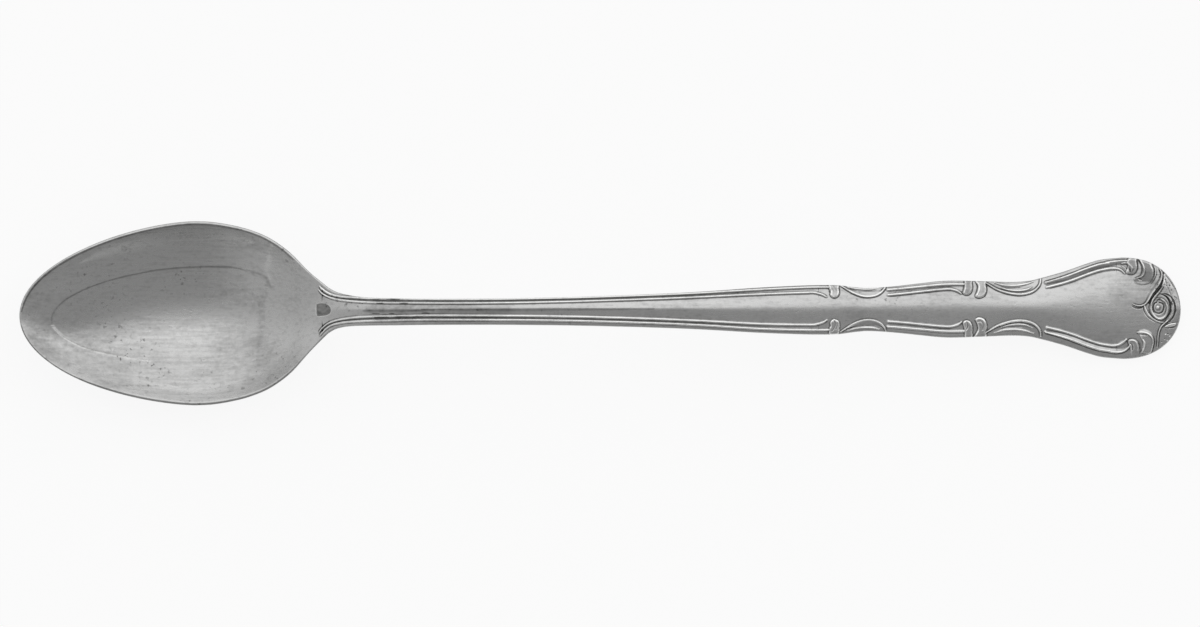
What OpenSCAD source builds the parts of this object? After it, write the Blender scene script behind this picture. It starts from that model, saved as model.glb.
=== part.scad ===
// Iced tea spoon: a long slim spoon struck from one blank of metal.
// The blank is drawn zone by zone along its length, and each raised line, curl and scroll of the
// pattern is a solid of its own that is seated on the zone that carries it.
// Places are measured from the bowl's tip. X runs from the bowl to the handle's end, Z is up, and
// the spoon lies on the plane Z = 0 with the origin under the middle of its length.

/* [Bowl] */
// Length of the bowl, from its tip to the shoulders of the neck
bowl_l = 49.6; // [44:0.1:56]
// Width of the bowl across its rim
bowl_w = 30.2; // [25:0.1:36]
// Distance from the bowl's tip to its widest place
bowl_wide_at = 28.8; // [25:0.1:32]
// Depth of the hollow below the rim, outside the sunk basin
bowl_depth = 5.7; // [4:0.1:7.5]
// Thickness of the metal at the rim
rim_t = 1.1; // [0.8:0.05:1.5]
// Thickness of the metal at the bottom of the bowl
floor_t = 1.35; // [1:0.05:1.8]
// Rise of the rim from its lowest place to the bowl's tip
nose_rise = 1.2; // [0.5:0.1:2.5]
// Rise of the rim from its lowest place to the shoulders of the neck
shoulder_rise = 2.8; // [1.5:0.1:4]

/* [Basin] */
// Distance from the bowl's tip to the sunk basin
basin_at = 5.2; // [4:0.1:8]
// Length of the sunk basin
basin_l = 36; // [30:0.1:37]
// Width of the sunk basin
basin_w = 15.8; // [12:0.1:18]
// Height of the small step round the basin
basin_step = 0.18; // [0.1:0.02:0.3]
// Width of the small step round the basin
basin_step_w = 0.4; // [0.3:0.05:0.6]
// Sag of the basin's floor below its step
basin_sag = 0.22; // [0.1:0.02:0.4]

/* [Neck and stem] */
// Width across the shoulders, where the bowl ends
shoulder_w = 9.4; // [8:0.1:11]
// Length of the neck, from the shoulders to the parallel stem
neck_l = 6.2; // [5:0.1:8]
// Width of the neck where the stem starts
neck_w = 4.76; // [4.4:0.02:5.4]
// Length of the stem
stem_l = 75.2; // [60:0.1:90]
// Width of the stem at its slimmest place
stem_w = 4.26; // [3.8:0.02:4.4]
// Width of the stem at its far end
stem_end_w = 8.1; // [7.4:0.05:8.6]
// Height of the crest of the arch above the table
arch_h = 17.6; // [14.5:0.1:21]
// Thickness of the stem at its edge
stem_edge_t = 1.5; // [1.2:0.05:1.8]
// Rounding of the stem's back below its edge
stem_back = 1.05; // [0.7:0.05:1.3]
// Crown of the stem's face above its edge
stem_crown = 0.35; // [0.2:0.05:0.5]

/* [Handle] */
// Length of the waisted part of the handle
waist_l = 27.4; // [24:0.1:32]
// Width of the handle at its first waist
waist_w = 7.04; // [6.4:0.02:7.6]
// Width of the handle at the swell between its waists
swell_w = 9.34; // [8.6:0.02:10]
// Length of the flare, from the second waist to the broad end
flare_l = 21.6; // [18:0.1:26]
// Width of the handle at its second waist
flare_w = 8.8; // [8.2:0.02:9.4]
// Length of the handle's rounded end
tip_l = 10.5; // [9:0.1:13]
// Width of the handle at its broadest place
tip_w = 16.64; // [14:0.02:19]
// Thickness of the handle at its edge
handle_edge_t = 1.2; // [1:0.05:1.5]
// Rounding of the handle's back below its edge
handle_back = 0.35; // [0.25:0.05:0.6]
// Crown of the handle's face above its edge
handle_crown = 0.5; // [0.3:0.05:0.7]
// Crown of the broad end's face above its edge
tip_crown = 0.75; // [0.5:0.05:1]
// Lift of the handle's very end above the place where it rests
tip_lift = 0.3; // [0.1:0.05:0.8]

/* [Pattern] */
// Height of the raised lines and scrolls above the face
relief_h = 0.2; // [0.12:0.01:0.3]
// Width of a border thread
thread_w = 0.5; // [0.4:0.02:0.6]
// Distance from the edge to the middle of the outer thread, along the stem
thread_in = 0.45; // [0.4:0.01:0.55]
// Distance between the middles of the two threads, along the stem
thread_pitch = 0.67; // [0.58:0.01:0.75]
// Distance from the edge to the middle of the outer thread, along the waist
waist_border_in = 0.64; // [0.5:0.02:0.75]
// Distance from the edge to the middle of the outer thread, at the broad end
end_border_in = 0.95; // [0.6:0.05:1.2]
// Distance between the middles of the two threads, along the handle
border_pitch = 0.92; // [0.75:0.01:1]
// Shift of the pattern and of the crown's crest towards one side
pattern_shift = 0.2; // [0:0.02:0.3]
// Width of a scroll's ridge
ridge_w = 0.6; // [0.4:0.02:0.7]
// Radius of the small ball in the middle of the volute
volute_ball_r = 0.6; // [0.4:0.05:0.7]
// Radius of the volute's outermost turn
volute_r = 2.1; // [1.8:0.05:2.3]
// Half-length of a curl along the handle
curl_l = 0.8; // [0.6:0.05:0.95]
// Half-width of a curl across the handle
curl_w = 0.65; // [0.5:0.05:0.8]
// Half-length of the teardrop buds at the broad end
bud_l = 1.35; // [1:0.05:1.5]
// Half-width of the teardrop buds at the broad end
bud_w = 1; // [0.7:0.05:1.1]

/* [Rest and seats] */
// Depth that is worn flat where the bowl and the handle's end rest
rest_flat = 0.08; // [0.05:0.01:0.12]
// Rounding of the blank's edges
edge_round = 0.3; // [0.15:0.05:0.35]
// Clearance between a raised line and the face that carries it
seat_gap = 0.03; // [0.02:0.01:0.06]

/* [Hidden] */

metal = [0.66, 0.66, 0.65];
bright_metal = [0.76, 0.76, 0.75];
dark_metal = [0.5, 0.5, 0.5];

// Places along the spoon
neck_at = bowl_l;
stem_at = neck_at + neck_l;
waist_at = stem_at + stem_l;
flare_at = waist_at + waist_l;
tip_at = flare_at + flare_l;
spoon_l = tip_at + tip_l;
tip_rest_share = 0.28;
tip_wide_share = 0.08;
tip_rest_at = tip_at + tip_l * tip_rest_share;
tip_wide_at = tip_at + tip_l * tip_wide_share;

// The blank's two ends are cut square over this width
end_land = 1.6;

// Shape of an end: the half-width follows root(1 - share^power) from the broadest place
bowl_end_power = 1.62;
tip_end_power = 2.3;
// How full the hollow's cross-section is, and how its depth follows the bowl's width
hollow_power = 2.25;
nose_depth_power = 1.8;
heel_depth_power = 1.5;

// Shares: distance along the zone, then how far the width has gone from its second value
heel_shares = [[0, 1], [0.12, 0.99], [0.27, 0.945], [0.43, 0.865], [0.59, 0.73], [0.75, 0.5], [0.9, 0.185]];
neck_shares = [[0, 1], [0.21, 0.53], [0.47, 0.21]];
stem_slim_share = 0.17;
stem_shares = [[0.44, 0.09], [0.65, 0.34], [0.87, 0.82], [0.96, 0.97], [1, 1]];
waist_share = 0.296;
waist_fall_shares = [[0.117, 0.9], [0.223, 0.25]];
swell_share = 0.818;
swell_rise_shares = [[0.44, 0.22], [0.62, 0.68], [0.726, 0.94]];
flare_waist_share = 0.213;
flare_shares = [
    [0.338, 0.05], [0.426, 0.163], [0.519, 0.3], [0.611, 0.446], [0.699, 0.612], [0.79, 0.78], [0.884, 0.918],
];

function mix(a, b, t) = a + (b - a) * t;
function clamp01(t) = min(1, max(0, t));
function smooth(t) = let (c = clamp01(t)) c * c * (3 - 2 * c);

// Slope of a table at one of its rows
function row_slope(t, i) =
    let (a = max(0, i - 1), b = min(len(t) - 1, i + 1))
    (t[b][1] - t[a][1]) / (t[b][0] - t[a][0]);

// Smooth curve through the rows [place, value] of a table
function curve(t, s) =
    let (
        i = min(len(t) - 2, max(0, len([for (r = t) if (r[0] <= s) 1]) - 1)),
        h = t[i + 1][0] - t[i][0],
        u = clamp01((s - t[i][0]) / h),
        u2 = u * u,
        u3 = u2 * u
    )
    t[i][1] * (2 * u3 - 3 * u2 + 1) + t[i + 1][1] * (3 * u2 - 2 * u3)
        + h * (row_slope(t, i) * (u3 - 2 * u2 + u) + row_slope(t, i + 1) * (u3 - u2));

// Half-width of the blank between its two ends
swell_end_share = 0.5;
width_table = concat(
    [for (q = heel_shares) [mix(bowl_wide_at, neck_at, q[0]), mix(shoulder_w, bowl_w, q[1]) / 2]],
    [for (q = neck_shares) [mix(neck_at, stem_at, q[0]), mix(neck_w, shoulder_w, q[1]) / 2]],
    [[stem_at, neck_w / 2], [stem_at + stem_l * stem_slim_share, stem_w / 2]],
    [for (q = stem_shares) [stem_at + stem_l * q[0], mix(stem_w, stem_end_w, q[1]) / 2]],
    [for (q = waist_fall_shares) [waist_at + waist_l * q[0], mix(waist_w, stem_end_w, q[1]) / 2]],
    [[waist_at + waist_l * waist_share, waist_w / 2]],
    [for (q = swell_rise_shares) [waist_at + waist_l * q[0], mix(waist_w, swell_w, q[1]) / 2]],
    [[waist_at + waist_l * swell_share, swell_w / 2]],
    [[flare_at, mix(swell_w, flare_w, swell_end_share) / 2]],
    [[flare_at + flare_l * flare_waist_share, flare_w / 2]],
    [for (q = flare_shares) [flare_at + flare_l * q[0], mix(flare_w, tip_w, q[1]) / 2]],
    [[tip_wide_at, tip_w / 2]]
);

function end_share(t, power) = sqrt(max(0, 1 - pow(clamp01(t), power)));

function half_w(s) =
    max(end_land / 2,
        s < bowl_wide_at ? bowl_w / 2 * end_share(1 - s / bowl_wide_at, bowl_end_power)
        : s > tip_wide_at
            ? tip_w / 2 * end_share((s - tip_wide_at) / (spoon_l - tip_wide_at), tip_end_power)
            : curve(width_table, s));

// Depth of the bowl's hollow at a place along it, as a share of its full depth
function hollow_share(s) =
    s <= bowl_wide_at ? pow(half_w(s) * 2 / bowl_w, nose_depth_power)
    : s < stem_at ? pow(max(0, (half_w(s) * 2 - neck_w) / (bowl_w - neck_w)), heel_depth_power)
    : 0;

// Rise of the bowl's rim above its lowest place, seen from the side
nose_rise_shares = [[0, 1], [0.48, 0.25]];
rim_low_share = 0.5;
heel_rise_shares = [[0, 0], [0.53, 0.21], [1, 1]];
rim_low_at = bowl_l * rim_low_share;
rim_rise_table = concat(
    [for (q = nose_rise_shares) [rim_low_at * q[0], nose_rise * q[1]]],
    [for (q = heel_rise_shares) [mix(rim_low_at, neck_at, q[0]), shoulder_rise * q[1]]]
);

// The bowl's back bulges by this much below the rim, and its lowest point is worn flat
back_bulge = bowl_depth + basin_step + basin_sag + floor_t - rim_t;
keel_n = 60;
keel_drop = max([
    for (i = [0:keel_n])
        let (s = bowl_l * i / keel_n)
        back_bulge * hollow_share(s) - curve(rim_rise_table, s)
]);
rim_z = keel_drop + rim_t - rest_flat;

// Height of the blank's edge, seen from the side
arch_top_share = 0.25;
neck_arch_shares = [[0.18, 0.32], [0.57, 0.81]];
arch_fall_shares = [[0, 1], [0.15, 0.965], [0.41, 0.74], [0.66, 0.435], [0.87, 0.16], [0.95, 0.022], [1, 0]];
arch_top_at = mix(neck_at, tip_at, arch_top_share);
tip_edge_z = handle_edge_t + handle_back - rest_flat;
edge_table = concat(
    [for (r = rim_rise_table) [r[0], rim_z + r[1]]],
    [for (q = neck_arch_shares) [mix(neck_at, arch_top_at, q[0]), mix(rim_z + shoulder_rise, arch_h, q[1])]],
    [for (q = arch_fall_shares) [mix(arch_top_at, tip_rest_at, q[0]), mix(tip_edge_z, arch_h, q[1])]],
    [[spoon_l, tip_edge_z + tip_lift]]
);

// Crown of the face, thickness at the edge and rounding of the back, along the handle
hollow_end_share = 0.9;
heel_start_share = 0.8;
middle_share = 0.5;
stem_thin_share = 0.2;
hollow_end_at = bowl_l * hollow_end_share;
heel_start_at = bowl_l * heel_start_share;
neck_middle = mix(neck_at, stem_at, middle_share);
stem_thin_at = mix(stem_at, waist_at, stem_thin_share);
stem_middle = mix(stem_at, waist_at, middle_share);
thinning_share = 0.8;
end_crown_share = 0.6;
crown_table = [
    [hollow_end_at, 0],
    [stem_at, stem_crown],
    [stem_middle, stem_crown],
    [waist_at, handle_crown],
    [flare_at, handle_crown],
    [tip_at, tip_crown],
    [spoon_l, tip_crown * end_crown_share],
];
edge_t_table = [
    [hollow_end_at, rim_t],
    [neck_middle, stem_edge_t],
    [stem_thin_at, stem_edge_t],
    [waist_at, mix(stem_edge_t, handle_edge_t, thinning_share)],
    [flare_at, handle_edge_t],
    [spoon_l, handle_edge_t],
];
back_table = [
    [heel_start_at, 0],
    [neck_middle, stem_back],
    [stem_thin_at, stem_back],
    [waist_at, mix(stem_back, handle_back, thinning_share)],
    [flare_at, handle_back],
    [tip_rest_at, handle_back],
    [spoon_l, handle_back],
];

// Half-width of the sunk basin: round at the nose, squared at the heel
basin_shares = [
    [0, 0], [0.02, 0.16], [0.07, 0.38], [0.16, 0.58], [0.28, 0.77], [0.39, 0.9], [0.5, 0.98],
    [0.63, 1], [0.79, 0.99], [0.87, 0.94], [0.94, 0.83], [0.98, 0.68], [1, 0],
];
function basin_half_w(s) =
    let (t = (s - basin_at) / basin_l)
    t <= 0 || t >= 1 ? 0 : basin_w / 2 * max(0, lookup(t, basin_shares));

// Drop of the face inside the basin: a small step, then a shallow sag
function basin_drop(s, y) =
    let (
        b = basin_half_w(s),
        from_end = min(s - basin_at, basin_at + basin_l - s),
        inside = min(b - abs(y), from_end)
    )
    inside <= 0 ? 0
        : basin_step * smooth(inside / basin_step_w)
            + basin_sag * (1 - pow(abs(y) / b, 2)) * smooth(from_end / (basin_w / 2));

// The crest of the crown runs a little off the middle of the handle
function crest_y(s) = pattern_shift * smooth((s - neck_at) / neck_l);

// Heights of the face and of the back
function face_z(s, y) =
    let (
        u = min(1, abs(y) / half_w(s)),
        c = crest_y(s),
        v = min(1, abs(y - c) / (half_w(s) - c * sign(y - c)))
    )
    curve(edge_table, s) - bowl_depth * hollow_share(s) * (1 - pow(u, hollow_power))
        + curve(crown_table, s) * (1 - v * v) - basin_drop(s, y);

function back_z(s, y) =
    let (u = min(1, abs(y) / half_w(s)))
    max(0, curve(edge_table, s) - curve(edge_t_table, s)
        - back_bulge * hollow_share(s) * (1 - pow(u, hollow_power)) - curve(back_table, s) * (1 - u * u));

// Points across the blank: the basin's step lies on a row of its own
inner_shares = [0, 0.12, 0.26, 0.5, 0.76, 1];
outer_shares = [0, 0.3, 0.6, 0.85, 1];
basin_row_share = 0.4;
basin_row_limit_share = 0.9;
basin_foot_limit_share = 0.3;
function across(s) =
    let (
        w = half_w(s) - edge_round,
        b = min(w * basin_row_limit_share, max(basin_half_w(s), w * basin_row_share)),
        foot = b - min(basin_step_w, b * basin_foot_limit_share)
    )
    concat([for (q = inner_shares) foot * q], [for (q = outer_shares) mix(b, w, q)]);

function both_sides(half) =
    concat([for (i = [len(half) - 1:-1:1]) -half[i]], half);

// One closed section of the blank, across the face, round the edge and back under it
function section(s) =
    let (
        ys = both_sides(across(s)),
        x = s - spoon_l / 2,
        w = half_w(s),
        z = curve(edge_table, s),
        t = curve(edge_t_table, s),
        last = len(ys) - 1
    )
    concat(
        [for (y = ys) [x, y, face_z(s, y)]],
        [[x, w, z - edge_round], [x, w, z - t + edge_round]],
        [for (i = [last:-1:0]) [x, ys[i], back_z(s, ys[i])]],
        [[x, -w, z - t + edge_round], [x, -w, z - edge_round]]
    );

row_n = 2 * (len(inner_shares) + len(outer_shares)) - 1;
section_n = 2 * row_n + 4;

// Triangles that close a section: a strip between the face and the back
function strip(flip) =
    let (
        quads = concat(
            [for (i = [0:row_n - 2]) [i, i + 1, section_n - 3 - i - 1, section_n - 3 - i]],
            [[row_n - 1, row_n, row_n + 1, row_n + 2], [section_n - 1, 0, section_n - 3, section_n - 2]]
        )
    )
    [for (q = quads) for (f = [[q[0], q[1], q[2]], [q[0], q[2], q[3]]]) flip ? [f[2], f[1], f[0]] : f];

// A zone of the blank, carried through its sections
module blank(stations) {
    last = (len(stations) - 1) * section_n;
    walls = [
        for (j = [0:len(stations) - 2]) for (i = [0:section_n - 1])
            let (a = j * section_n + i, b = j * section_n + (i + 1) % section_n)
            each [[a, b, b + section_n], [a, b + section_n, a + section_n]]
    ];
    polyhedron(
        points = [for (s = stations) each section(s)],
        faces = concat(
            strip(true),
            [for (f = strip(false)) [f[0] + last, f[1] + last, f[2] + last]],
            walls
        )
    );
}

function steps(from, to, n) = [for (i = [0:n]) mix(from, to, i / n)];
function steps_after(from, to, n) = [for (i = [1:n]) mix(from, to, i / n)];

nose_n = 9;
basin_n = 20;
heel_n = 10;
neck_n = 8;
stem_n = 26;
waist_n = 18;
flare_n = 14;
tip_n = 12;

function nose_stations() = [for (i = [0:nose_n]) basin_at * (1 - cos(90 * i / nose_n))];
function bowl_stations() =
    concat(
        nose_stations(),
        [basin_at + basin_step_w],
        steps_after(basin_at + basin_step_w, basin_at + basin_l - basin_step_w, basin_n),
        [basin_at + basin_l],
        steps_after(basin_at + basin_l, neck_at, heel_n)
    );
function tip_stations() =
    let (round_l = spoon_l - tip_wide_at)
    concat([tip_at], [for (i = [0:tip_n]) tip_wide_at + round_l * sin(90 * i / tip_n)]);

module bowl() {
    color(metal)
        blank(bowl_stations());
}

module neck() {
    color(metal)
        blank(steps(neck_at, stem_at, neck_n));
}

module stem() {
    color(metal)
        blank(steps(stem_at, waist_at, stem_n));
}

module waist() {
    color(metal)
        blank(steps(waist_at, flare_at, waist_n));
}

module flare() {
    color(metal)
        blank(steps(flare_at, tip_at, flare_n));
}

module tip() {
    color(metal)
        blank(tip_stations());
}

// A point of a raised line, lifted above the face and the rounded edge that carry it
function lifted(p, h) =
    let (edge_fall = max(0, abs(p[1]) - half_w(p[0]) + edge_round))
    [p[0] - spoon_l / 2, p[1], face_z(p[0], p[1]) - edge_fall + seat_gap + h];

// A point of the pattern, moved with its crest and kept on the face
function on_face(p, margin) =
    let (limit = half_w(p[0]) - margin)
    [p[0], min(limit, max(-limit, p[1] + crest_y(p[0])))];

// Direction across a path at one of its points
function across_path(path, i) =
    let (
        a = path[max(0, i - 1)],
        b = path[min(len(path) - 1, i + 1)],
        d = b - a,
        l = norm(d)
    )
    [-d[1] / l, d[0] / l];

// Ridge along a path on the face, thinning towards its ends
ridge_ends_share = 0.3;
ridge_flank_share = 0.55;
ridge_flank_h_share = 0.8;
ridge_margin = 0.05;
module ridge(pattern_path, w, h, taper_share) {
    path = [for (p = pattern_path) on_face(p, w / 2 + ridge_margin)];
    n = len(path);
    bottom = [1, 0, -1];
    top = [-ridge_flank_share, 0, ridge_flank_share];
    size = len(bottom) + len(top);
    points = [
        for (i = [0:n - 1])
            let (
                t = i / (n - 1),
                full = taper_share == 0 ? 1
                    : mix(ridge_ends_share, 1, smooth(min(t, 1 - t) / taper_share)),
                side = across_path(path, i) * w / 2 * full
            )
            each concat(
                [for (k = bottom) lifted(path[i] + side * k, 0)],
                [for (k = top) lifted(path[i] + side * k, h * full * (k == 0 ? 1 : ridge_flank_h_share))]
            )
    ];
    walls = [
        for (j = [0:n - 2]) for (i = [0:size - 1])
            let (a = j * size + i, b = j * size + (i + 1) % size)
            each [[a, b, b + size], [a, b + size, a + size]]
    ];
    crest = len(bottom) + 1;
    start = [for (i = [1:size - 2]) [crest, (crest + i + 1) % size, (crest + i) % size]];
    end = [for (f = start) [for (k = [2:-1:0]) f[k] + (n - 1) * size]];
    polyhedron(points = points, faces = concat(start, end, walls));
}

// Low dome on the face, with its own length, width and turn
dome_n = 14;
dome_shoulder_share = 0.7;
dome_shoulder_h_share = 0.75;
module dome(pattern_c, rx, ry, turn, h) {
    c = on_face(pattern_c, ridge_margin);
    function at(k, a) =
        let (p = [rx * k * cos(a), ry * k * sin(a)])
        on_face(pattern_c + [p[0] * cos(turn) - p[1] * sin(turn), p[0] * sin(turn) + p[1] * cos(turn)], ridge_margin);
    angles = [for (i = [0:dome_n - 1]) 360 * i / dome_n];
    points = concat(
        [lifted(c, 0)],
        [for (a = angles) lifted(at(1, a), 0)],
        [for (a = angles) lifted(at(dome_shoulder_share, a), h * dome_shoulder_h_share)],
        [lifted(c, h)]
    );
    top = 2 * dome_n + 1;
    polyhedron(
        points = points,
        faces = [
            for (i = [0:dome_n - 1])
                let (a = 1 + i, b = 1 + (i + 1) % dome_n)
                each [[0, a, b], [a, a + dome_n, b], [b, a + dome_n, b + dome_n], [a + dome_n, top, b + dome_n]]
        ]
    );
}

// Smooth path through hand-placed points, with a number of steps between each two
function flow(pts, n) =
    let (last = len(pts) - 1)
    concat(
        [
            for (i = [0:last - 1]) for (k = [0:n - 1])
                let (
                    a = pts[max(0, i - 1)],
                    b = pts[i],
                    c = pts[i + 1],
                    d = pts[min(last, i + 2)],
                    t = k / n
                )
                b + ((c - a) * t + (2 * a - 5 * b + 4 * c - d) * t * t + (3 * b - a - 3 * c + d) * t * t * t) / 2
        ],
        [pts[last]]
    );

// Points given as shares: distance along a zone, then distance out to the edge
function on_zone(from, l, shares) =
    [for (q = shares) let (s = from + l * q[0]) [s, half_w(s) * q[1]]];

function mirrored(path) = [for (p = path) [p[0], -p[1]]];

module both_ridges(path, w, h, taper_share) {
    for (side = [path, mirrored(path)])
        ridge(side, w, h, taper_share);
}

module both_domes(c, rx, ry, turn, h) {
    dome(c, rx, ry, turn, h);
    dome([c[0], -c[1]], rx, ry, -turn, h);
}

// The two threads of the border, row 0 by the edge and row 1 inside it
border_from_share = 0.7;
border_pitch_share = 0.75;
flare_border_share = flare_waist_share * 2;
thread_in_table = [
    [neck_at, thread_in],
    [mix(stem_at, waist_at, border_from_share), thread_in],
    [mix(waist_at, flare_at, waist_share), waist_border_in],
    [flare_at, waist_border_in],
    [mix(flare_at, tip_at, flare_border_share), end_border_in],
    [spoon_l, end_border_in],
];
thread_pitch_table = [
    [neck_at, thread_pitch],
    [mix(stem_at, waist_at, border_from_share), thread_pitch],
    [waist_at, mix(thread_pitch, border_pitch, border_pitch_share)],
    [flare_at, border_pitch],
    [spoon_l, border_pitch],
];
slope_step = 0.05;
function border(from, to, row, n) =
    [
        for (s = steps(from, to, n))
            let (
                inset = curve(thread_in_table, s) + row * curve(thread_pitch_table, s),
                rise = half_w(s + slope_step) - half_w(s - slope_step),
                run = 2 * slope_step,
                l = norm([run, rise])
            )
            [s + inset * rise / l, half_w(s) - inset * run / l]
    ];

// Flat end of the centre rib, where the handle meets the bowl
shield_w = 2.2;
shield_l = 2.3;
shield_fade_l = 3.4;
shield_over_share = 0.35;
shield_shares = [0, 0.3, 0.5, 0.7, 1];
shield_taper_share = 0.5;
module neck_shield() {
    shield_at = neck_at - shield_l * shield_over_share;
    color(dark_metal)
        ridge(
            [for (q = shield_shares) [shield_at + (shield_l + shield_fade_l) * q, 0]],
            shield_w, relief_h, shield_taper_share);
}

// The threads of the border spread over the neck's shoulders
neck_thread_shares = [0.02, 0.06];
neck_thread_n = neck_n * 2;
module neck_threads() {
    color(bright_metal)
        for (row = [0, 1])
            both_ridges(
                border(mix(neck_at, stem_at, neck_thread_shares[row]), stem_at, row, neck_thread_n),
                thread_w, relief_h, 0);
}

// The outer thread runs on past the stem, and the inner one hooks in towards the middle
stem_thread_end_shares = [0.05, -0.05];
hook_shares = [[0.002, 0.57], [0.026, 0.49], [0.042, 0.37]];
module stem_threads() {
    outer_end = waist_at + waist_l * stem_thread_end_shares[0];
    inner_end = waist_at + waist_l * stem_thread_end_shares[1];
    inner = border(stem_at, inner_end, 1, stem_n);
    hook = flow(concat([inner[stem_n]], on_zone(waist_at, waist_l, hook_shares)), 3);
    color(bright_metal) {
        both_ridges(border(stem_at, outer_end, 0, stem_n), thread_w, relief_h, 0);
        both_ridges(concat([for (i = [0:stem_n - 1]) inner[i]], hook), thread_w, relief_h, 0);
    }
}

// A crescent reaches in from the edge at each waist, with a flatter one between it and the edge
crescent_taper_share = 0.35;
lens_w = 0.4;
waist_crescent_shares = [
    [0.13, 0.9], [0.18, 0.76], [0.23, 0.61], [0.29, 0.54], [0.34, 0.59], [0.372, 0.72], [0.39, 0.88],
];
waist_lens_shares = [[0.18, 0.91], [0.225, 0.88], [0.28, 0.87], [0.33, 0.88], [0.365, 0.91]];
module waist_crescents() {
    color(bright_metal) {
        both_ridges(
            flow(on_zone(waist_at, waist_l, waist_crescent_shares), 3),
            ridge_w, relief_h, crescent_taper_share);
        both_ridges(
            flow(on_zone(waist_at, waist_l, waist_lens_shares), 3),
            lens_w, relief_h, crescent_taper_share);
    }
}

border_end_share = 0.12;
waist_border_shares = [0.41, 0.83];
module waist_threads() {
    color(bright_metal)
        for (row = [0, 1])
            both_ridges(
                border(
                    waist_at + waist_l * waist_border_shares[0],
                    waist_at + waist_l * waist_border_shares[1],
                    row, waist_n),
                thread_w, relief_h, border_end_share);
}

// Curls and buds stand a little higher than the lines
curl_h_share = 1.4;
curl_h = relief_h * curl_h_share;
waist_curl_shares = [0.095, 0.625];
module waist_curls() {
    c = on_zone(waist_at, waist_l, [waist_curl_shares])[0];
    color(bright_metal)
        both_domes(c, curl_l, curl_w, 0, curl_h);
}

flare_crescent_shares = [
    [0.02, 0.9], [0.08, 0.75], [0.155, 0.62], [0.23, 0.53], [0.295, 0.51], [0.345, 0.56], [0.382, 0.67],
    [0.402, 0.82],
];
flare_lens_shares = [[0.085, 0.9], [0.13, 0.84], [0.19, 0.815], [0.26, 0.82], [0.32, 0.86], [0.355, 0.9]];
module flare_crescents() {
    color(bright_metal) {
        both_ridges(
            flow(on_zone(flare_at, flare_l, flare_crescent_shares), 3),
            ridge_w, relief_h, crescent_taper_share);
        both_ridges(
            flow(on_zone(flare_at, flare_l, flare_lens_shares), 3),
            lens_w, relief_h, crescent_taper_share);
    }
}

flare_border_shares = [0.44, 1.02];
module flare_threads() {
    color(bright_metal)
        for (row = [0, 1])
            both_ridges(
                border(
                    flare_at + flare_l * flare_border_shares[0],
                    flare_at + flare_l * flare_border_shares[1],
                    row, waist_n),
                thread_w, relief_h, border_end_share);
}

// A curl and a square bud stand between the border and the second waist
flare_curl_shares = [-0.143, 0.67];
flare_bud_shares = [-0.036, 0.64];
flare_bud_size_shares = [1.1, 1.6];
module flare_curls() {
    curl = on_zone(flare_at, flare_l, [flare_curl_shares])[0];
    bud = on_zone(flare_at, flare_l, [flare_bud_shares])[0];
    color(bright_metal) {
        both_domes(curl, curl_l, curl_l, 0, curl_h);
        both_domes(bud, curl_l * flare_bud_size_shares[0], curl_w * flare_bud_size_shares[1], 0, curl_h);
    }
}

// A curl and a teardrop bud end the border at the broad end
tip_curl_shares = [0.219, 0.78];
tip_bud_shares = [0.448, 0.68];
tip_curl_size_share = 1.2;
tip_curl_turn = 40;
bud_turn = 60;
module tip_buds() {
    curl = on_zone(tip_at, tip_l, [tip_curl_shares])[0];
    bud = on_zone(tip_at, tip_l, [tip_bud_shares])[0];
    color(bright_metal) {
        both_domes(curl, curl_l * tip_curl_size_share, curl_w * tip_curl_size_share, tip_curl_turn, curl_h);
        both_domes(bud, bud_l, bud_w, bud_turn, curl_h);
    }
}

// The long ridge sweeps in from one side to the volute, and a short one leads out to the other
volute_at_share = 0.645;
volute_c = [tip_at + tip_l * volute_at_share, 0];
scroll_in_shares = [
    [0.685, 0.92], [0.7, 0.8], [0.682, 0.66], [0.63, 0.52], [0.565, 0.39], [0.495, 0.28], [0.43, 0.18],
    [0.355, 0.1], [0.28, 0.06],
];
scroll_out_shares = [[0.705, -0.52], [0.67, -0.59], [0.65, -0.68], [0.64, -0.77], [0.625, -0.86]];
scroll_h_share = 1.5;
scroll_taper_share = 0.3;
module tip_scroll() {
    color(bright_metal)
        for (shares = [scroll_in_shares, scroll_out_shares])
            ridge(flow(on_zone(tip_at, tip_l, shares), 3), ridge_w, relief_h * scroll_h_share, scroll_taper_share);
}

// The volute winds out from its ball in a steady spiral
volute_turns = 1.75;
volute_n = 40;
volute_ridge_w = 0.4;
volute_start_deg = 200;
volute_h_share = 1.3;
volute_ball_h_share = 1.8;
volute_taper_share = 0.1;
module tip_volute() {
    inner_r = volute_ball_r + volute_ridge_w;
    path = [
        for (i = [0:volute_n])
            let (a = volute_start_deg - 360 * volute_turns * i / volute_n, r = mix(inner_r, volute_r, i / volute_n))
            volute_c + r * [cos(a), sin(a)]
    ];
    color(bright_metal) {
        dome(volute_c, volute_ball_r, volute_ball_r, 0, relief_h * volute_ball_h_share);
        ridge(path, volute_ridge_w, relief_h * volute_h_share, volute_taper_share);
    }
}

// Leaf lobes fill the space between the volute and the edge
leaf_l = 0.8;
leaf_w = 0.36;
leaf_shares = [[0.8, 0.7], [0.825, -0.53], [0.785, -0.77]];
leaf_turns = [-50, 15, 50];
module tip_leaves() {
    places = on_zone(tip_at, tip_l, leaf_shares);
    color(bright_metal)
        for (i = [0:len(places) - 1])
            dome(places[i], leaf_l, leaf_w, leaf_turns[i], relief_h);
}

bowl();
neck();
stem();
waist();
flare();
tip();
neck_shield();
neck_threads();
stem_threads();
waist_crescents();
waist_threads();
waist_curls();
flare_crescents();
flare_threads();
flare_curls();
tip_buds();
tip_scroll();
tip_volute();
tip_leaves();
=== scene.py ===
import math

import bpy
import numpy as np
from mathutils import Matrix, Vector


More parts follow.
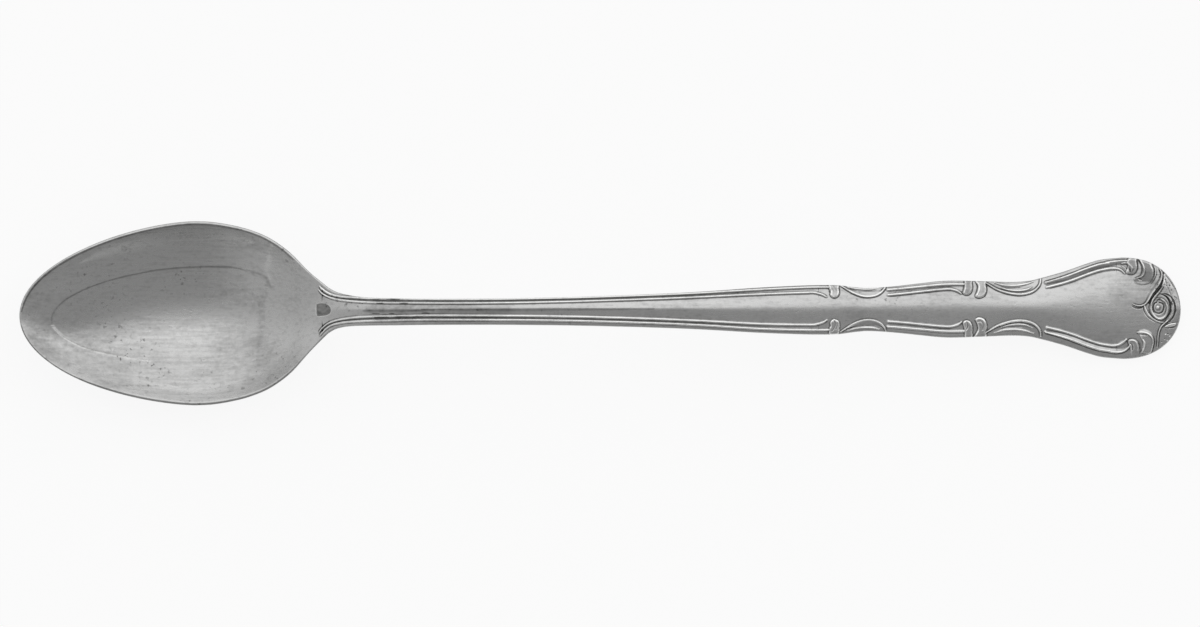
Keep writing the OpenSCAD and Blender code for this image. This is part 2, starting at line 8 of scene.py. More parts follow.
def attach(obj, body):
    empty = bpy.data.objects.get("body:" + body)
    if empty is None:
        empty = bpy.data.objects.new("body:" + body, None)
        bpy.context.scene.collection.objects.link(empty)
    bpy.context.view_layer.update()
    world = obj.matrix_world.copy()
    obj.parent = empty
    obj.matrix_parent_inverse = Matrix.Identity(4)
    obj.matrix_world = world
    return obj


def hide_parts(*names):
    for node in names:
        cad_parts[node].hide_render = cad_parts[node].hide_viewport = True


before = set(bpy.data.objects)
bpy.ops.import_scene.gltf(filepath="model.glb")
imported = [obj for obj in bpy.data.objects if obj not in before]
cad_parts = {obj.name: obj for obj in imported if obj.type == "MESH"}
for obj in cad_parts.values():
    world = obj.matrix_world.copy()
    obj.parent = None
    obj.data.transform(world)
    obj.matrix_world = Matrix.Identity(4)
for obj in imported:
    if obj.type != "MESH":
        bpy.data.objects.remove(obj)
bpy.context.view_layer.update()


# ---- The bowl ----
# A pointed oval bowl of silver-coloured metal, struck from the blank, about 1.1 mm thick at the rim,
# with a shallow sunk basin. It is one piece with the handle, so its sections run on into the neck.
# Places are millimetres from the bowl's tip, y is across, positive at the upper side, and z is up.
MM = 0.001
spoon_l = 190.5
bowl_l = 49.6
bowl_w = 30.2
bowl_wide_at = 28.8
bowl_depth = 5.7
bowl_back_bulge = 6.35
nose_power = 1.62
neck_at = bowl_l
stem_at = 55.8
waist_at = 131.0
flare_at = 158.4
tip_at = 180.0
neck_w = 4.76
tip_w = 16.64
tip_wide_at = 180.84
tip_power = 2.3

# Half-widths of the blank between its two round ends: place, half-width
half_width_rows = [[28.8, 15.1], [31.3, 15], [34.42, 14.53], [37.74, 13.7], [41.07, 12.29], [44.4, 9.9],
    [47.52, 6.62], [49.6, 4.7], [50.9, 3.61], [52.51, 2.87], [55.8, 2.38], [62.4, 2.2], [68.58, 2.13],
    [78.8, 2.16], [88.89, 2.3], [95.2, 2.46], [104.68, 2.78], [111.6, 3.1], [121.22, 3.7], [127.99, 3.99],
    [131, 4.05], [134.2, 4], [137.11, 3.65], [139.11, 3.52], [143.06, 3.77], [147.99, 4.3], [150.89, 4.6],
    [153.41, 4.67], [158.4, 4.53], [163, 4.4], [165.7, 4.6], [167.6, 5.04], [169.61, 5.57], [171.6, 6.15],
    [173.5, 6.8], [175.46, 7.46], [177.49, 8], [180.84, 8.32]]
# Height of the blank's edge, seen from the side
edge_height_rows = [[0, 8.17], [11.9, 7.27], [24.8, 6.97], [37.94, 7.56], [49.6, 9.77], [55.47, 12.28],
    [68.18, 16.11], [82.2, 17.6], [97.4, 17.04], [123.4, 13.43], [148.8, 8.57], [170, 4.18], [178, 1.82],
    [182.94, 1.47], [190.5, 1.77]]
# Crown of the face above its edge, thickness at the edge, and rounding of the back below it
crown_rows = [[44.6, 0], [55.8, 0.38], [93.4, 0.38], [131, 0.44], [158.4, 0.48], [170, 0.9], [178, 1.05],
    [184, 0.75], [190.5, 0.4]]
edge_t_rows = [[44.6, 1.1], [52.7, 1.5], [70.8, 1.5], [131, 1.26], [158.4, 1.2], [190.5, 1.2]]
back_rows = [[39.7, 0], [52.7, 1.05], [70.8, 1.05], [131, 0.49], [158.4, 0.35], [182.9, 0.35],
    [190.5, 0.35]]
# The middle of the blank wanders a little off the straight line: place, distance
middle_rows = [[0, -0.28], [8, -0.26], [16, -0.12], [26, 0], [44, 0], [47.5, 0.12], [50.5, 0.36],
    [53, 0.33], [57, 0.14], [64, 0.04], [80, 0], [184, 0], [188.6, -0.12], [190.5, -0.34]]
# The die stood a little to one side, so the crest of the face and the pattern are off the middle:
# place, distance
crest_rows = [[49.6, 0], [52.7, 0.13], [55.8, 0.3], [60, 0.38], [66, 0.42], [76, 0.38], [95, 0.34],
    [111, 0.26], [122, 0.17], [131, 0.2], [190.5, 0.2]]


def smooth(t):
    """Ease from 0 to 1: three t squared less two t cubed, with t held between 0 and 1."""
    t = np.clip(t, 0, 1)
    return t * t * (3 - 2 * t)


def curve(rows, s):
    """Cubic through the rows (place, value); a row's slope is that of the line between its neighbours."""
    x, v = np.array(rows, float).T
    before, after = np.maximum(np.arange(len(x)) - 1, 0), np.minimum(np.arange(len(x)) + 1, len(x) - 1)
    slope = (v[after] - v[before]) / (x[after] - x[before])
    i = np.clip(np.searchsorted(x, s, side="right") - 1, 0, len(x) - 2)
    h = x[i + 1] - x[i]
    u = np.clip((s - x[i]) / h, 0, 1)
    return (v[i] * (2 * u**3 - 3 * u**2 + 1) + v[i + 1] * (3 * u**2 - 2 * u**3)
            + h * (slope[i] * (u**3 - 2 * u**2 + u) + slope[i + 1] * (u**3 - u**2)))


def half_w(s):
    """Half-width of the blank: root of (1 - share to a power) towards each end, the rows between them."""
    nose = np.sqrt(np.clip(1 - np.clip(1 - s / bowl_wide_at, 0, 1) ** nose_power, 0, 1)) * bowl_w / 2
    end = np.clip((s - tip_wide_at) / (spoon_l - tip_wide_at), 0, 1)
    tip = np.sqrt(np.clip(1 - end**tip_power, 0, 1)) * tip_w / 2
    return np.where(s < bowl_wide_at, nose, np.where(s > tip_wide_at, tip, curve(half_width_rows, s)))


# A fine table of the half-width squared, for the outline's slope
fine_n = 7621
fine_s = np.linspace(0, spoon_l, fine_n)
fine_w2 = half_w(fine_s) ** 2
fine_w2_slope = np.gradient(fine_w2, fine_s)


def from_edge(s, y):
    """Distance inside the outline: (w squared - y squared) over the length of its gradient."""
    slope = np.interp(s, fine_s, fine_w2_slope)
    return (half_w(s) ** 2 - y**2) / np.sqrt(slope**2 + 4 * y**2 + 1e-9)


def crest(s):
    """How far the crest of the face is off the middle: it moves over along the neck."""
    return curve(crest_rows, s)


# How far the roof of the face is off the pattern's middle line: place, distance
ridge_off_rows = [[44.6, 0], [56, 0], [62, -0.03], [72, 0.05], [88, 0.15], [110, 0.08], [131, 0.1],
    [158.4, 0.1], [168, 0], [190.5, 0]]
# Roundness of the crest as a share of the half-width: sharp on the stem, a plain dome at the end
crest_round_rows = [[44.6, 0.1], [110, 0.12], [131, 0.26], [144, 0.3], [158.4, 0.34], [168, 0.45],
    [176, 0.9], [190.5, 1.8]]
# How much steeper than the mean the flanks are beside the crest, and how much flatter by the edge
crest_steep_rows = [[44.6, 0.3], [158.4, 0.3], [168, 0.1], [176, 0], [190.5, 0]]


def crown(s, y):
    """Rise of the face above its edge: two flanks that meet in a rounded crest, like a low roof. Each
    is a hyperbola, the root of (distance from the crest squared + roundness squared), and hollows a
    little: fall + steepness * fall * (1 - fall)."""
    ridge = crest(s) + curve(ridge_off_rows, s)
    side = np.where(y > ridge, half_w(s) - ridge, half_w(s) + ridge) + 1e-6
    v = np.clip(np.abs(y - ridge) / side, 0, 1)
    soft = curve(crest_round_rows, s)
    fall = (np.hypot(v, soft) - soft) / (np.hypot(1, soft) - soft)
    return curve(crown_rows, s) * (1 - fall) * (1 - curve(crest_steep_rows, s) * fall)


# The hollow deepens with a power of the width: from the nose, from the stem, and its section across
hollow_nose_power = 1.8
hollow_heel_power = 1.5
hollow_across_power = 2.25


def hollow_share(s):
    """How deep the hollow is at a place, from 0 to 1: the width over the bowl's, to a power; from the
    stem, what the width has over the neck's, to another."""
    w = half_w(s) * 2
    nose = (w / bowl_w) ** hollow_nose_power
    heel = np.clip((w - neck_w) / (bowl_w - neck_w), 0, 1) ** hollow_heel_power
    return np.where(s <= bowl_wide_at, nose, np.where(s < stem_at, heel, 0))


# The basin: its place, size and step, the step's soft ramp at the heel and its fading on the lower
# side, the sag, and the outline as share along, share across
basin_at = 5.2
basin_l = 36.0
basin_w = 15.9
basin_step = 0.18
basin_step_w = 0.24
basin_heel_w = 2.2
basin_heel_at = 36.0
basin_heel_l = 4.0
basin_fade_at = 15.0
basin_fade_l = 5.0
basin_fade = 0.8
basin_sag = 0.22
basin_rows = [[0, 0], [0.003, 0.1], [0.02, 0.22], [0.06, 0.394], [0.161, 0.63], [0.263, 0.767],
    [0.364, 0.872], [0.467, 0.951], [0.567, 0.989], [0.717, 1], [0.819, 0.981], [0.919, 0.893],
    [0.961, 0.805], [0.992, 0.69], [1, 0.5]]
# The basin lies a little to one side of the bowl: place, distance off the middle
basin_off_rows = [[5.2, -0.75], [6, -0.62], [7.5, -0.56], [11, -0.51], [14.7, -0.41], [22, -0.37],
    [31, -0.22], [41, -0.2]]


def basin_drop(s, y):
    """Drop of the face inside the basin: a crisp step at its outline, then a shallow sag. The step
    widens into a soft ramp at the heel, and fades out along the side at negative y."""
    t = (s - basin_at) / basin_l
    y = y - curve(basin_off_rows, s)
    b = np.where((t > 0) & (t < 1), basin_w / 2 * curve(basin_rows, t), 0)
    ends = np.minimum(s - basin_at, basin_at + basin_l - s)
    inside = np.minimum(b - np.abs(y), ends)
    across = np.clip(np.abs(y) / np.maximum(b, 1e-6), 0, 1)
    sag = basin_sag * (1 - across**2) * smooth(ends / (basin_w / 2))
    heel = smooth((s - basin_heel_at) / basin_heel_l)
    step_w = basin_step_w + heel * (basin_heel_w - basin_step_w)
    worn = 1 - basin_fade * smooth((s - basin_fade_at) / basin_fade_l) * smooth(-2 * y / basin_w)
    return np.where(inside > 0, basin_step * worn * smooth(inside / step_w) + sag, 0)


def share_across(s, y):
    """Distance from the middle as a share of the half-width."""
    return np.clip(np.abs(y) / np.maximum(half_w(s), 1e-6), 0, 1)


def bowl_curve(s, y, depth):
    """Depth of the bowl's hollow or bulge: depth times (1 - share of the half-width to a power)."""
    return depth * hollow_share(s) * (1 - share_across(s, y) ** hollow_across_power)


# Where the hollow is deepest: place, distance off the middle. It wanders to one side by the tip
valley_rows = [[0, -0.8], [3, -2], [6, -3.5], [9.6, -3.8], [13.5, -2.8], [17.4, -1.8], [21.4, -0.9],
    [28, -0.2], [36, 0]]


def valley_y(s, y):
    """Distance from the deepest line: all of its shift is taken in the middle and none at the rim,
    by (1 - share of the half-width squared) squared."""
    return y - curve(valley_rows, s) * (1 - share_across(s, y) ** 2) ** 2


# The flat land round the bowl's rim: place, width
land_rows = [[0, 0.1], [9, 0.25], [16, 0.45], [42, 0.45], [47, 0.2], [49.6, 0.05]]
land_ease = 3.5


def land_share(s, y):
    """Share of the hollow that the land takes back: whole on the land, then its width over the
    distance from the edge, faded out further in."""
    d = np.maximum(from_edge(s, y), 1e-6)
    return np.clip(curve(land_rows, s) / d, 0, 1) * (1 - smooth(d / land_ease))


# What the die strikes, the stains and painted shade that darken the surface, and the painted highlights
# that brighten it: functions of a place, in order
pattern = []
stain_and_shade_marks = []
painted_highlights = []


def relief(s, y):
    """Height of the struck pattern: each stroke is laid on what the strokes before it made."""
    h = np.zeros(np.broadcast(s, y).shape)
    for press in pattern:
        h = press(s, y, h)
    return h


# How far round a point its height is compared, and the steps at which tarnish and wear begin and end
recess_reach = 0.24
recess_low, recess_high = 0.016, 0.09
worn_low, worn_high = 0.008, 0.06


def tarnish_wear_and_painted_light(s, y, h):
    """Two shares of the surface, from 0 to 1. The dark one is how far a point lies below the mean of
    eight points around it, with the marks of stains and painted shade; the worn one is how far it
    stands above that mean, with the painted highlights."""
    mean = np.zeros(h.shape)
    for turn in np.arange(8) * math.pi / 4:
        mean += relief(s + recess_reach * math.cos(turn), y + recess_reach * math.sin(turn)) / 8
    dark = smooth((mean - h - recess_low) / (recess_high - recess_low))
    worn = smooth((h - mean - worn_low) / (worn_high - worn_low))
    for mark in stain_and_shade_marks:
        dark = mark(s, y, dark)
    for highlight in painted_highlights:
        worn = highlight(s, y, worn)
    return np.clip(dark, 0, 1), np.clip(worn, 0, 1)


def face_height(s, y):
    """Face of the blank: the height of its edge, less the hollow and the basin, plus the crown."""
    hollow = bowl_curve(s, valley_y(s, y), bowl_depth) * (1 - land_share(s, y))
    return curve(edge_height_rows, s) - hollow + crown(s, y) - basin_drop(s, y)


def back_height(s, y):
    """Underside: the edge less its thickness, the bowl's bulge and a parabola across. It stays above
    the table, which leaves the two flats that the spoon rests on."""
    back = (curve(edge_height_rows, s) - curve(edge_t_rows, s) - bowl_curve(s, y, bowl_back_bulge)
            - curve(back_rows, s) * (1 - share_across(s, y) ** 2))
    return np.maximum(back, 0)


def roll(d, r):
    """Fall of a rounded edge at a distance inside it: the quarter circle of radius r."""
    return r - np.sqrt(np.maximum(r * r - np.clip(r - d, 0, r) ** 2, 0))


def columns(inner_n, edge_n, edge_share):
    """Places across the face, from -1 to 1: even inside, and by a sine ever closer at the edges."""
    inner = np.linspace(0, 1 - edge_share, inner_n + 1)[:-1]
    edge = 1 - edge_share * (1 - np.sin(np.linspace(0, math.pi / 2, edge_n + 1)))
    half = np.concatenate([inner, edge])
    return np.concatenate([-half[:0:-1], half])


def add_object(name, data):
    """Object of a mesh, a lamp or a camera, in the scene."""
    thing = bpy.data.objects.new(name, data)
    bpy.context.scene.collection.objects.link(thing)
    return thing


# Rounding of the blank's edge, and the width under which a row is a point and needs no cap
edge_r = 0.35
point_w = 0.01


def shell(name, s, face_u, back_u):
    """Closed piece of the blank: each row of places s has one ring, over the face, round the edge and
    back underneath, and each end of the piece that isn't a point gets a flat cap."""
    s = s[:, None]
    w = half_w(s)
    face_y, back_y = w * face_u, w * back_u[::-1]
    bump = relief(s, face_y)
    # Shares of tarnish with painted shade, and of wear with painted highlights
    tones = dict(zip(("tarnish_and_shade", "worn"), tarnish_wear_and_painted_light(s, face_y, bump)))
    face_z = face_height(s, face_y) + bump - roll(from_edge(s, face_y), edge_r)
    back_z = back_height(s, back_y) + roll(from_edge(s, back_y), edge_r)
    ring_y = np.concatenate([face_y, back_y], axis=1) + curve(middle_rows, s)
    ring_z = np.concatenate([face_z, back_z], axis=1)
    n, m = ring_y.shape
    points = np.stack([np.broadcast_to(s - spoon_l / 2, ring_y.shape), ring_y, ring_z], axis=2) * MM
    a = (np.arange(n - 1)[:, None] * m + np.arange(m)).ravel()
    b = (np.arange(n - 1)[:, None] * m + (np.arange(m) + 1) % m).ravel()
    walls = np.stack([a, a + m, b + m, b], axis=1)
    verts = points.reshape(-1, 3)
    caps = []
    for row, order in ((0, 1), (n - 1, -1)):
        if w[row, 0] > point_w:
            middle = np.full(m, len(verts))
            verts = np.vstack([verts, points[row].mean(axis=0)])
            i = np.arange(m)
            cap = np.stack([middle, row * m + i, row * m + (i + 1) % m], axis=1)
            caps += cap[:, ::order].tolist()
    mesh = bpy.data.meshes.new(name)
    mesh.from_pydata(verts, [], walls.tolist() + caps)
    mesh.polygons.foreach_set("use_smooth", np.arange(len(mesh.polygons)) < len(walls))
    for tone, face_shares in tones.items():
        shares = np.zeros(len(verts))
        shares[: n * m].reshape(n, m)[:, : face_y.shape[1]] = face_shares
        mesh.attributes.new(tone, "FLOAT", "POINT").data.foreach_set("value", shares)
    ends = np.zeros(len(mesh.edges) * 2, int)
    mesh.edges.foreach_get("vertices", ends)
    ends = ends.reshape(-1, 2)
    row = ends // m
    rim = (row[:, 0] == row[:, 1]) & np.isin(row[:, 0], (0, n - 1)) & (ends < n * m).all(axis=1)
    mesh.attributes.new("sharp_edge", "BOOLEAN", "EDGE").data.foreach_set("value", rim)
    mesh.validate()
    return add_object(name, mesh)


class Value:
    """A shader socket that can be used in sums and products; each adds its Math node."""

    def __init__(self, nodes, socket):
        self.nodes, self.socket = nodes, socket

    def math(self, operation, *others, clamp=False):
        node = add_node(self.nodes, "ShaderNodeMath", {"operation": operation, "use_clamp": clamp},
                        dict(enumerate((self, *others))))
        return Value(self.nodes, node.outputs[0])

    def __add__(self, other): return self.math("ADD", other)
    def __radd__(self, other): return self.math("ADD", other)
    def __sub__(self, other): return self.math("SUBTRACT", other)
    def __mul__(self, other): return self.math("MULTIPLY", other)
    def __rmul__(self, other): return self.math("MULTIPLY", other)
    def __rsub__(self, other):
        node = add_node(self.nodes, "ShaderNodeMath", {"operation": "SUBTRACT"}, {0: other, 1: self})
        return Value(self.nodes, node.outputs[0])

    def ramp(self, low, high):
        """0 below low, 1 above high and eased between them."""
        node = add_node(self.nodes, "ShaderNodeMapRange", {"interpolation_type": "SMOOTHSTEP"},
                        {"Value": self, "From Min": low, "From Max": high})
        return Value(self.nodes, node.outputs[0])


def add_node(nodes, kind, settings=(), inputs=()):
    """A node of a type, with its settings made first and then its sockets set or linked."""
    node = nodes.new(kind)
    for key, value in dict(settings).items():
        setattr(node, key, value)
    for key, value in dict(inputs).items():
        value = value.socket if isinstance(value, Value) else value
        if isinstance(value, bpy.types.NodeSocket):
            nodes.id_data.links.new(value, node.inputs[key])
        else:
            node.inputs[key].default_value = value
    return node


def mix_colours(nodes, share, first, second):
    """Colour between two, by a share from 0 to 1; a Mix node's colours are its sockets 6 and 7."""
    node = add_node(nodes, "ShaderNodeMix", {"data_type": "RGBA"}, {0: share, 6: first, 7: second})
    return node.outputs[2]


def noise(nodes, where, scale, stretch=(1, 1, 1), detail=3.0, rough=0.5):
    """Noise over the piece, at so many cells a metre, drawn out along an axis by its stretch."""
    place = add_node(nodes, "ShaderNodeMapping", {}, {"Vector": where, "Scale": stretch})
    cells = add_node(nodes, "ShaderNodeTexNoise", {}, {
        "Vector": place.outputs[0], "Scale": scale, "Detail": detail, "Roughness": rough})
    return Value(nodes, cells.outputs[0])


def satin_metal(name, tint, wear_and_highlight_tint, dark_tint, roughness):
    """Worn satin metal: lines of brushing along the spoon and grain, bright worn ridges, dark recesses,
    cloudy stains, and specks and pits in patches. The dark share also holds painted shade, and the
    bright share painted highlights."""
    material = bpy.data.materials.new(name)
    material.use_nodes = True
    nodes = material.node_tree.nodes
    shader = nodes["Principled BSDF"]
    where = add_node(nodes, "ShaderNodeTexCoord").outputs["Object"]
    # Tarnish with painted shade, and wear with painted highlights, as stored on the mesh
    tarnish_and_shade_share, worn = (
        Value(nodes, add_node(nodes, "ShaderNodeAttribute", {"attribute_name": tone}).outputs["Fac"])
        for tone in ("tarnish_and_shade", "worn"))
    brushing = noise(nodes, where, 1900, stretch=(0.05, 1, 1))
    grain = noise(nodes, where, 1700, stretch=(0.7, 1, 1), rough=0.7)
    clouds = noise(nodes, where, 160, stretch=(0.5, 1, 1), detail=5, rough=0.65)
    specks = noise(nodes, where, 1500, detail=2).ramp(0.6, 0.72)
    patches = noise(nodes, where, 90).ramp(0.5, 0.64)
    rims = (noise(nodes, where, 240, detail=2) - 0.55).math("ABSOLUTE")
    # How dark each of them makes the metal; grain and brushing vary about their middle
    tarnish_and_shade_part, cloud_part, patch_part, speck_part, rim_part = 0.9, 0.24, 0.5, 0.09, 0.16
    grain_part, brushing_part, middle, darkest = 0.6, 0.56, 0.5, 0.95
    dark = (tarnish_and_shade_share * tarnish_and_shade_part + clouds.ramp(0.46, 0.8) * cloud_part + specks * patches * patch_part
            + specks * speck_part + (1 - rims.ramp(0.002, 0.011)) * patches * rim_part
            + (grain - middle) * grain_part + (brushing - middle) * brushing_part)
    dark = dark.math("MINIMUM", darkest).math("MAXIMUM", 0.0)
    bright = mix_colours(nodes, worn, (*tint, 1), (*wear_and_highlight_tint, 1))
    colour = mix_colours(nodes, dark, bright, (*dark_tint, 1))
    # Brushing and clouds vary the roughness about its mean, tarnish adds to it and wear takes away
    brushing_rough, cloud_rough, dark_rough, worn_smooth = 0.08, 0.06, 0.15, 0.08
    least_rough = roughness - (brushing_rough + cloud_rough) / 2
    rough = (brushing * brushing_rough + clouds * cloud_rough + dark * dark_rough - worn * worn_smooth
             + least_rough)
    pit_depth = 0.8
    bump = add_node(nodes, "ShaderNodeBump", {}, {
        "Strength": 0.25, "Distance": 0.03 * MM, "Height": brushing + grain - specks * pit_depth})
    shader.inputs["Metallic"].default_value = 1.0
    nodes.id_data.links.new(colour, shader.inputs["Base Color"])
    nodes.id_data.links.new(rough.socket, shader.inputs["Roughness"])
    nodes.id_data.links.new(bump.outputs[0], shader.inputs["Normal"])
    return material


def fit(piece, *nodes):
    """The piece gets the spoon's metal, rides on the spoon and stands for its CAD nodes."""
    piece.data.materials.append(spoon_metal)
    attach(piece, "root")
    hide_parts(*nodes)


spoon_metal = satin_metal("spoon_metal", (0.56, 0.56, 0.556), (0.98, 0.98, 0.97), (0.09, 0.09, 0.088), 0.28)


def flow(points, n=6, closed=False):
    """Smooth path through given points: the uniform Catmull-Rom curve, n steps between each two."""
    p = np.array(points, float)
    p = np.vstack([p[-1], p, p[:2]]) if closed else np.vstack([p[0], p, p[-1]])
    t = (np.arange(n) / n)[:, None, None]
    a, b, c, d = p[:-3], p[1:-2], p[2:-1], p[3:]
    q = b + ((c - a) * t + (2 * a - 5 * b + 4 * c - d) * t**2 + (3 * b - a - 3 * c + d) * t**3) / 2
    return np.vstack([q.transpose(1, 0, 2).reshape(-1, p.shape[1]), p[-2]])


def laid(h, near, shape, how):
    """The height field h with a shape laid on it: over it, added on it, or cut out of it."""
    h = h.copy()
    if how == "over":
        h[near] = np.maximum(h[near], shape)
    elif how == "on":
        h[near] += shape
    else:
        h[near] -= shape
    return h


def window(path, reach, mirror):
    """Function that finds the points within reach of a path, as a mask and their two coordinates."""
    low, high = path[:, :2].min(axis=0) - reach, path[:, :2].max(axis=0) + reach

    def look(s, y):
        across = y - crest(s)
        across = np.abs(across) if mirror else across
        s = np.broadcast_to(s, across.shape)
        near = (s > low[0]) & (s < high[0]) & (across > low[1]) & (across < high[1])
        return near, s[near], across[near]

    return look


def legs(path, s, y):
    """Each straight leg of a path: its ends, its run, the share of it that is nearest to each point,
    and the point's offset from there."""
    for a, b in zip(path[:-1], path[1:]):
        d = b - a
        t = np.clip(((s - a[0]) * d[0] + (y - a[1]) * d[1]) / max(d[:2] @ d[:2], 1e-9), 0, 1)
        yield a, b, d, t, s - a[0] - t * d[0], y - a[1] - t * d[1]


# How far past its own width a line is looked for
window_gap = 0.05


def stroke(points, height, flat=0.0, how="over", mirror=False, n=6):
    """Line of the pattern. Its points are (place, distance from the crest, half-width), and a fourth
    value is the half-width on the left of the path where that differs. The height falls from the
    path to the half-width: whole over the flat share, then an eased fall."""
    path = flow(points, n) if n else np.array(points, float)
    look = window(path, path[:, 2:].max() + window_gap, mirror)

    def press(s, y, h):
        near, ps, py = look(s, y)
        if not near.any():
            return h
        best = np.full(ps.shape, np.inf)
        for a, b, d, t, gx, gy in legs(path, ps, py):
            right, left = a[2] + t * d[2], a[-1] + t * d[-1]
            width = np.where(d[0] * gy - d[1] * gx > 0, left, right)
            best = np.minimum(best, np.hypot(gx, gy) / np.maximum(width, 1e-3))
        return laid(h, near, height * (1 - smooth((best - flat) / (1 - flat))), how)

    return press


# A leaning patch is never lower or higher than these shares of its height
lean_low, lean_high = 0.1, 3


def lobe(points, height, round_w, how="over", mirror=False, n=5, lean=0.0):
    """Raised or cut patch inside a closed outline of (place, distance from the crest): it rises from
    the outline by a quarter circle, which is round_w wide. Inside that it is level, or higher by the
    share lean for each millimetre further out from the middle of its outline."""
    path = flow(points, n, closed=True)
    middle = path[:, 1].mean()
    look = window(path, window_gap, mirror)

    def press(s, y, h):
        near, ps, py = look(s, y)
        if not near.any():
            return h
        gap = np.full(ps.shape, np.inf)
        inside = np.zeros(ps.shape, bool)
        for a, b, d, t, gx, gy in legs(path, ps, py):
            gap = np.minimum(gap, np.hypot(gx, gy))
            if a[1] != b[1]:
                inside ^= ((a[1] > py) != (b[1] > py)) & (ps < a[0] + (py - a[1]) * d[0] / d[1])
        rise = np.sqrt(1 - (1 - np.clip(gap / round_w, 0, 1)) ** 2)
        slant = np.clip(1 + lean * (py - middle), lean_low, lean_high)
        return laid(h, near, height * rise * inside * slant, how)

    return press


def track(s, y, w):
    """Points of a line from its places, distances across and half-widths."""
    return np.stack([s, y, np.broadcast_to(w, s.shape)], axis=1)


def strike(points, height, **shape):
    """Raise a line of the pattern."""
    pattern.append(stroke(points, height, **shape))


def patch(points, height, round_w, **shape):
    """Raise a patch of the pattern."""
    pattern.append(lobe(points, height, round_w, **shape))


def cut(points, depth, **shape):
    """Cut a line into the pattern."""
    pattern.append(stroke(points, depth, how="cut", **shape))


def stain_and_shade(points, share, **shape):
    """Darken the metal along a line: used for stains and for painted shade."""
    stain_and_shade_marks.append(stroke(points, share, how="on", **shape))


def paint_highlight(points, share, **shape):
    """Paint a highlight: brighten the metal along a line."""
    painted_highlights.append(stroke(points, share, how="on", **shape))


# The double border: height and half-width of its threads, the outer one's distance in from the edge,
# and the step to the inner one
thread_h = 0.23
thread_w = 0.31
thread_in_rows = [[49.6, 0.45], [108.4, 0.45], [131, 0.54], [139.1, 0.62], [143.7, 0.7], [150.3, 0.8],
    [158.4, 0.8], [167.6, 0.98], [171.8, 0.9], [174.5, 0.8], [177.3, 0.76], [190.5, 0.74]]
thread_step_rows = [[49.6, 0.67], [108.4, 0.67], [131, 0.86], [143.7, 0.84], [150.3, 0.78], [158.4, 0.8],
    [167.6, 0.9], [171.8, 1.05], [190.5, 1.12]]
border_step = 1.2
border_least_n = 8
slope_reach = 0.05


def border(start, end, row, half):
    """Points of a border thread: those of the outline, each moved in along the outline's normal by
    the thread's distance from the edge. Row 0 is the outer thread."""
    s = np.linspace(start, end, max(border_least_n, int((end - start) / border_step)))
    inset = curve(thread_in_rows, s) + row * curve(thread_step_rows, s)
    slope = (half_w(s + slope_reach) - half_w(s - slope_reach)) / (2 * slope_reach)
    l = np.hypot(1, slope)
    return track(s + inset * slope / l, half_w(s) - inset / l, half)


# The border's two threads run out over the shoulders, where their ends are sharp and undercut
neck_outer = [[49.25, 4.05, 0.14], [49.5, 3.72, 0.24], [50.1, 3.15, 0.28], [50.9, 2.63, 0.3],
    [51.9, 2.3, 0.31], [53.5, 2.05, 0.31]]
neck_inner = [[49.1, 3.5, 0.12], [49.3, 3.2, 0.22], [49.75, 2.72, 0.26], [50.45, 2.26, 0.28],
    [51.3, 1.92, 0.3], [52.5, 1.63, 0.31], [54.2, 1.4, 0.31]]
neck_border_l = 3
for ends, row in ((neck_outer, 0), (neck_inner, 1)):
    thread = np.vstack([ends, border(stem_at, stem_at + neck_border_l, row, thread_w)])
    strike(thread, thread_h, mirror=True)
cut([[49, 3.3, 0.06], [49.35, 2.85, 0.1], [50, 2.3, 0.12], [50.9, 1.8, 0.08]], 0.07, mirror=True)
# The shield, where the crest of the stem runs out: a flat of its own, cut a little into the metal
shield = [[48.7, 0.9], [48.84, 1.16], [49.31, 1.24], [49.95, 1.15], [50.6, 0.85], [50.97, 0.38],
    [51.07, -0.15], [50.86, -0.61], [50.36, -0.84], [49.55, -0.87], [48.9, -0.83], [48.74, -0.54]]
pattern.append(lobe(shield, 0.07, 0.1, how="cut"))
stain_and_shade_marks.append(lobe(shield, 0.72, 0.12))


def basin_edge(s, side):
    """Outline of the basin at its upper (side 1) or lower side (side -1)."""
    return curve(basin_off_rows, s) + side * curve(basin_rows, (s - basin_at) / basin_l) * basin_w / 2


# Painted shade along the upper side of the basin's step and in the corner at its heel
line_s = np.concatenate([[5.21, 5.24, 5.3, 5.5, 5.92, 6.5, 7.4, 8.5], np.arange(10, 39, 2.0),
                         [39.6, 40.6, 41.1]])
line_in, line_w, line_heel_w = 0.08, 0.19, 0.25
line_heel_at, line_heel_l = 37, 4
line_widths = line_w + line_heel_w * smooth((line_s - line_heel_at) / line_heel_l)
stain_and_shade(track(line_s, basin_edge(line_s, 1) - line_in, line_widths), 0.36, n=3)
stain_and_shade([[40.6, 5, 0.4], [40.2, 3.4, 0.8], [39.8, 1.4, 1.1], [39.6, -1, 1.1], [39.3, -3.4, 1],
    [39.1, -5.4, 0.8], [39, -6.4, 0.4]], 0.17)
# Painted highlight along the lower edge of the basin near the bowl's tip, and a painted reflection on the
# rise beside its heel
low_s = np.array([7.2, 8.2, 10, 12, 14.5, 18, 22])
low_w = np.array([0.1, 0.24, 0.32, 0.32, 0.28, 0.24, 0.1])
paint_highlight(track(low_s, basin_edge(low_s, -1), low_w), 0.55, n=3)
paint_highlight([[41.4, 11.2, 0.4], [40.9, 9, 0.8], [40.6, 6.8, 0.8], [41.2, 4.6, 0.6]], 0.2)
# Broad soft darkening: over the hollow along the middle, and over the lower side towards the bowl's tip
stain_and_shade([[6, -3, 3], [9.6, -3.6, 4.6], [14, -3.4, 4.4], [20, -2.8, 3.6], [28, -2.6, 3.2], [36, -2.4, 2]],
    0.14)
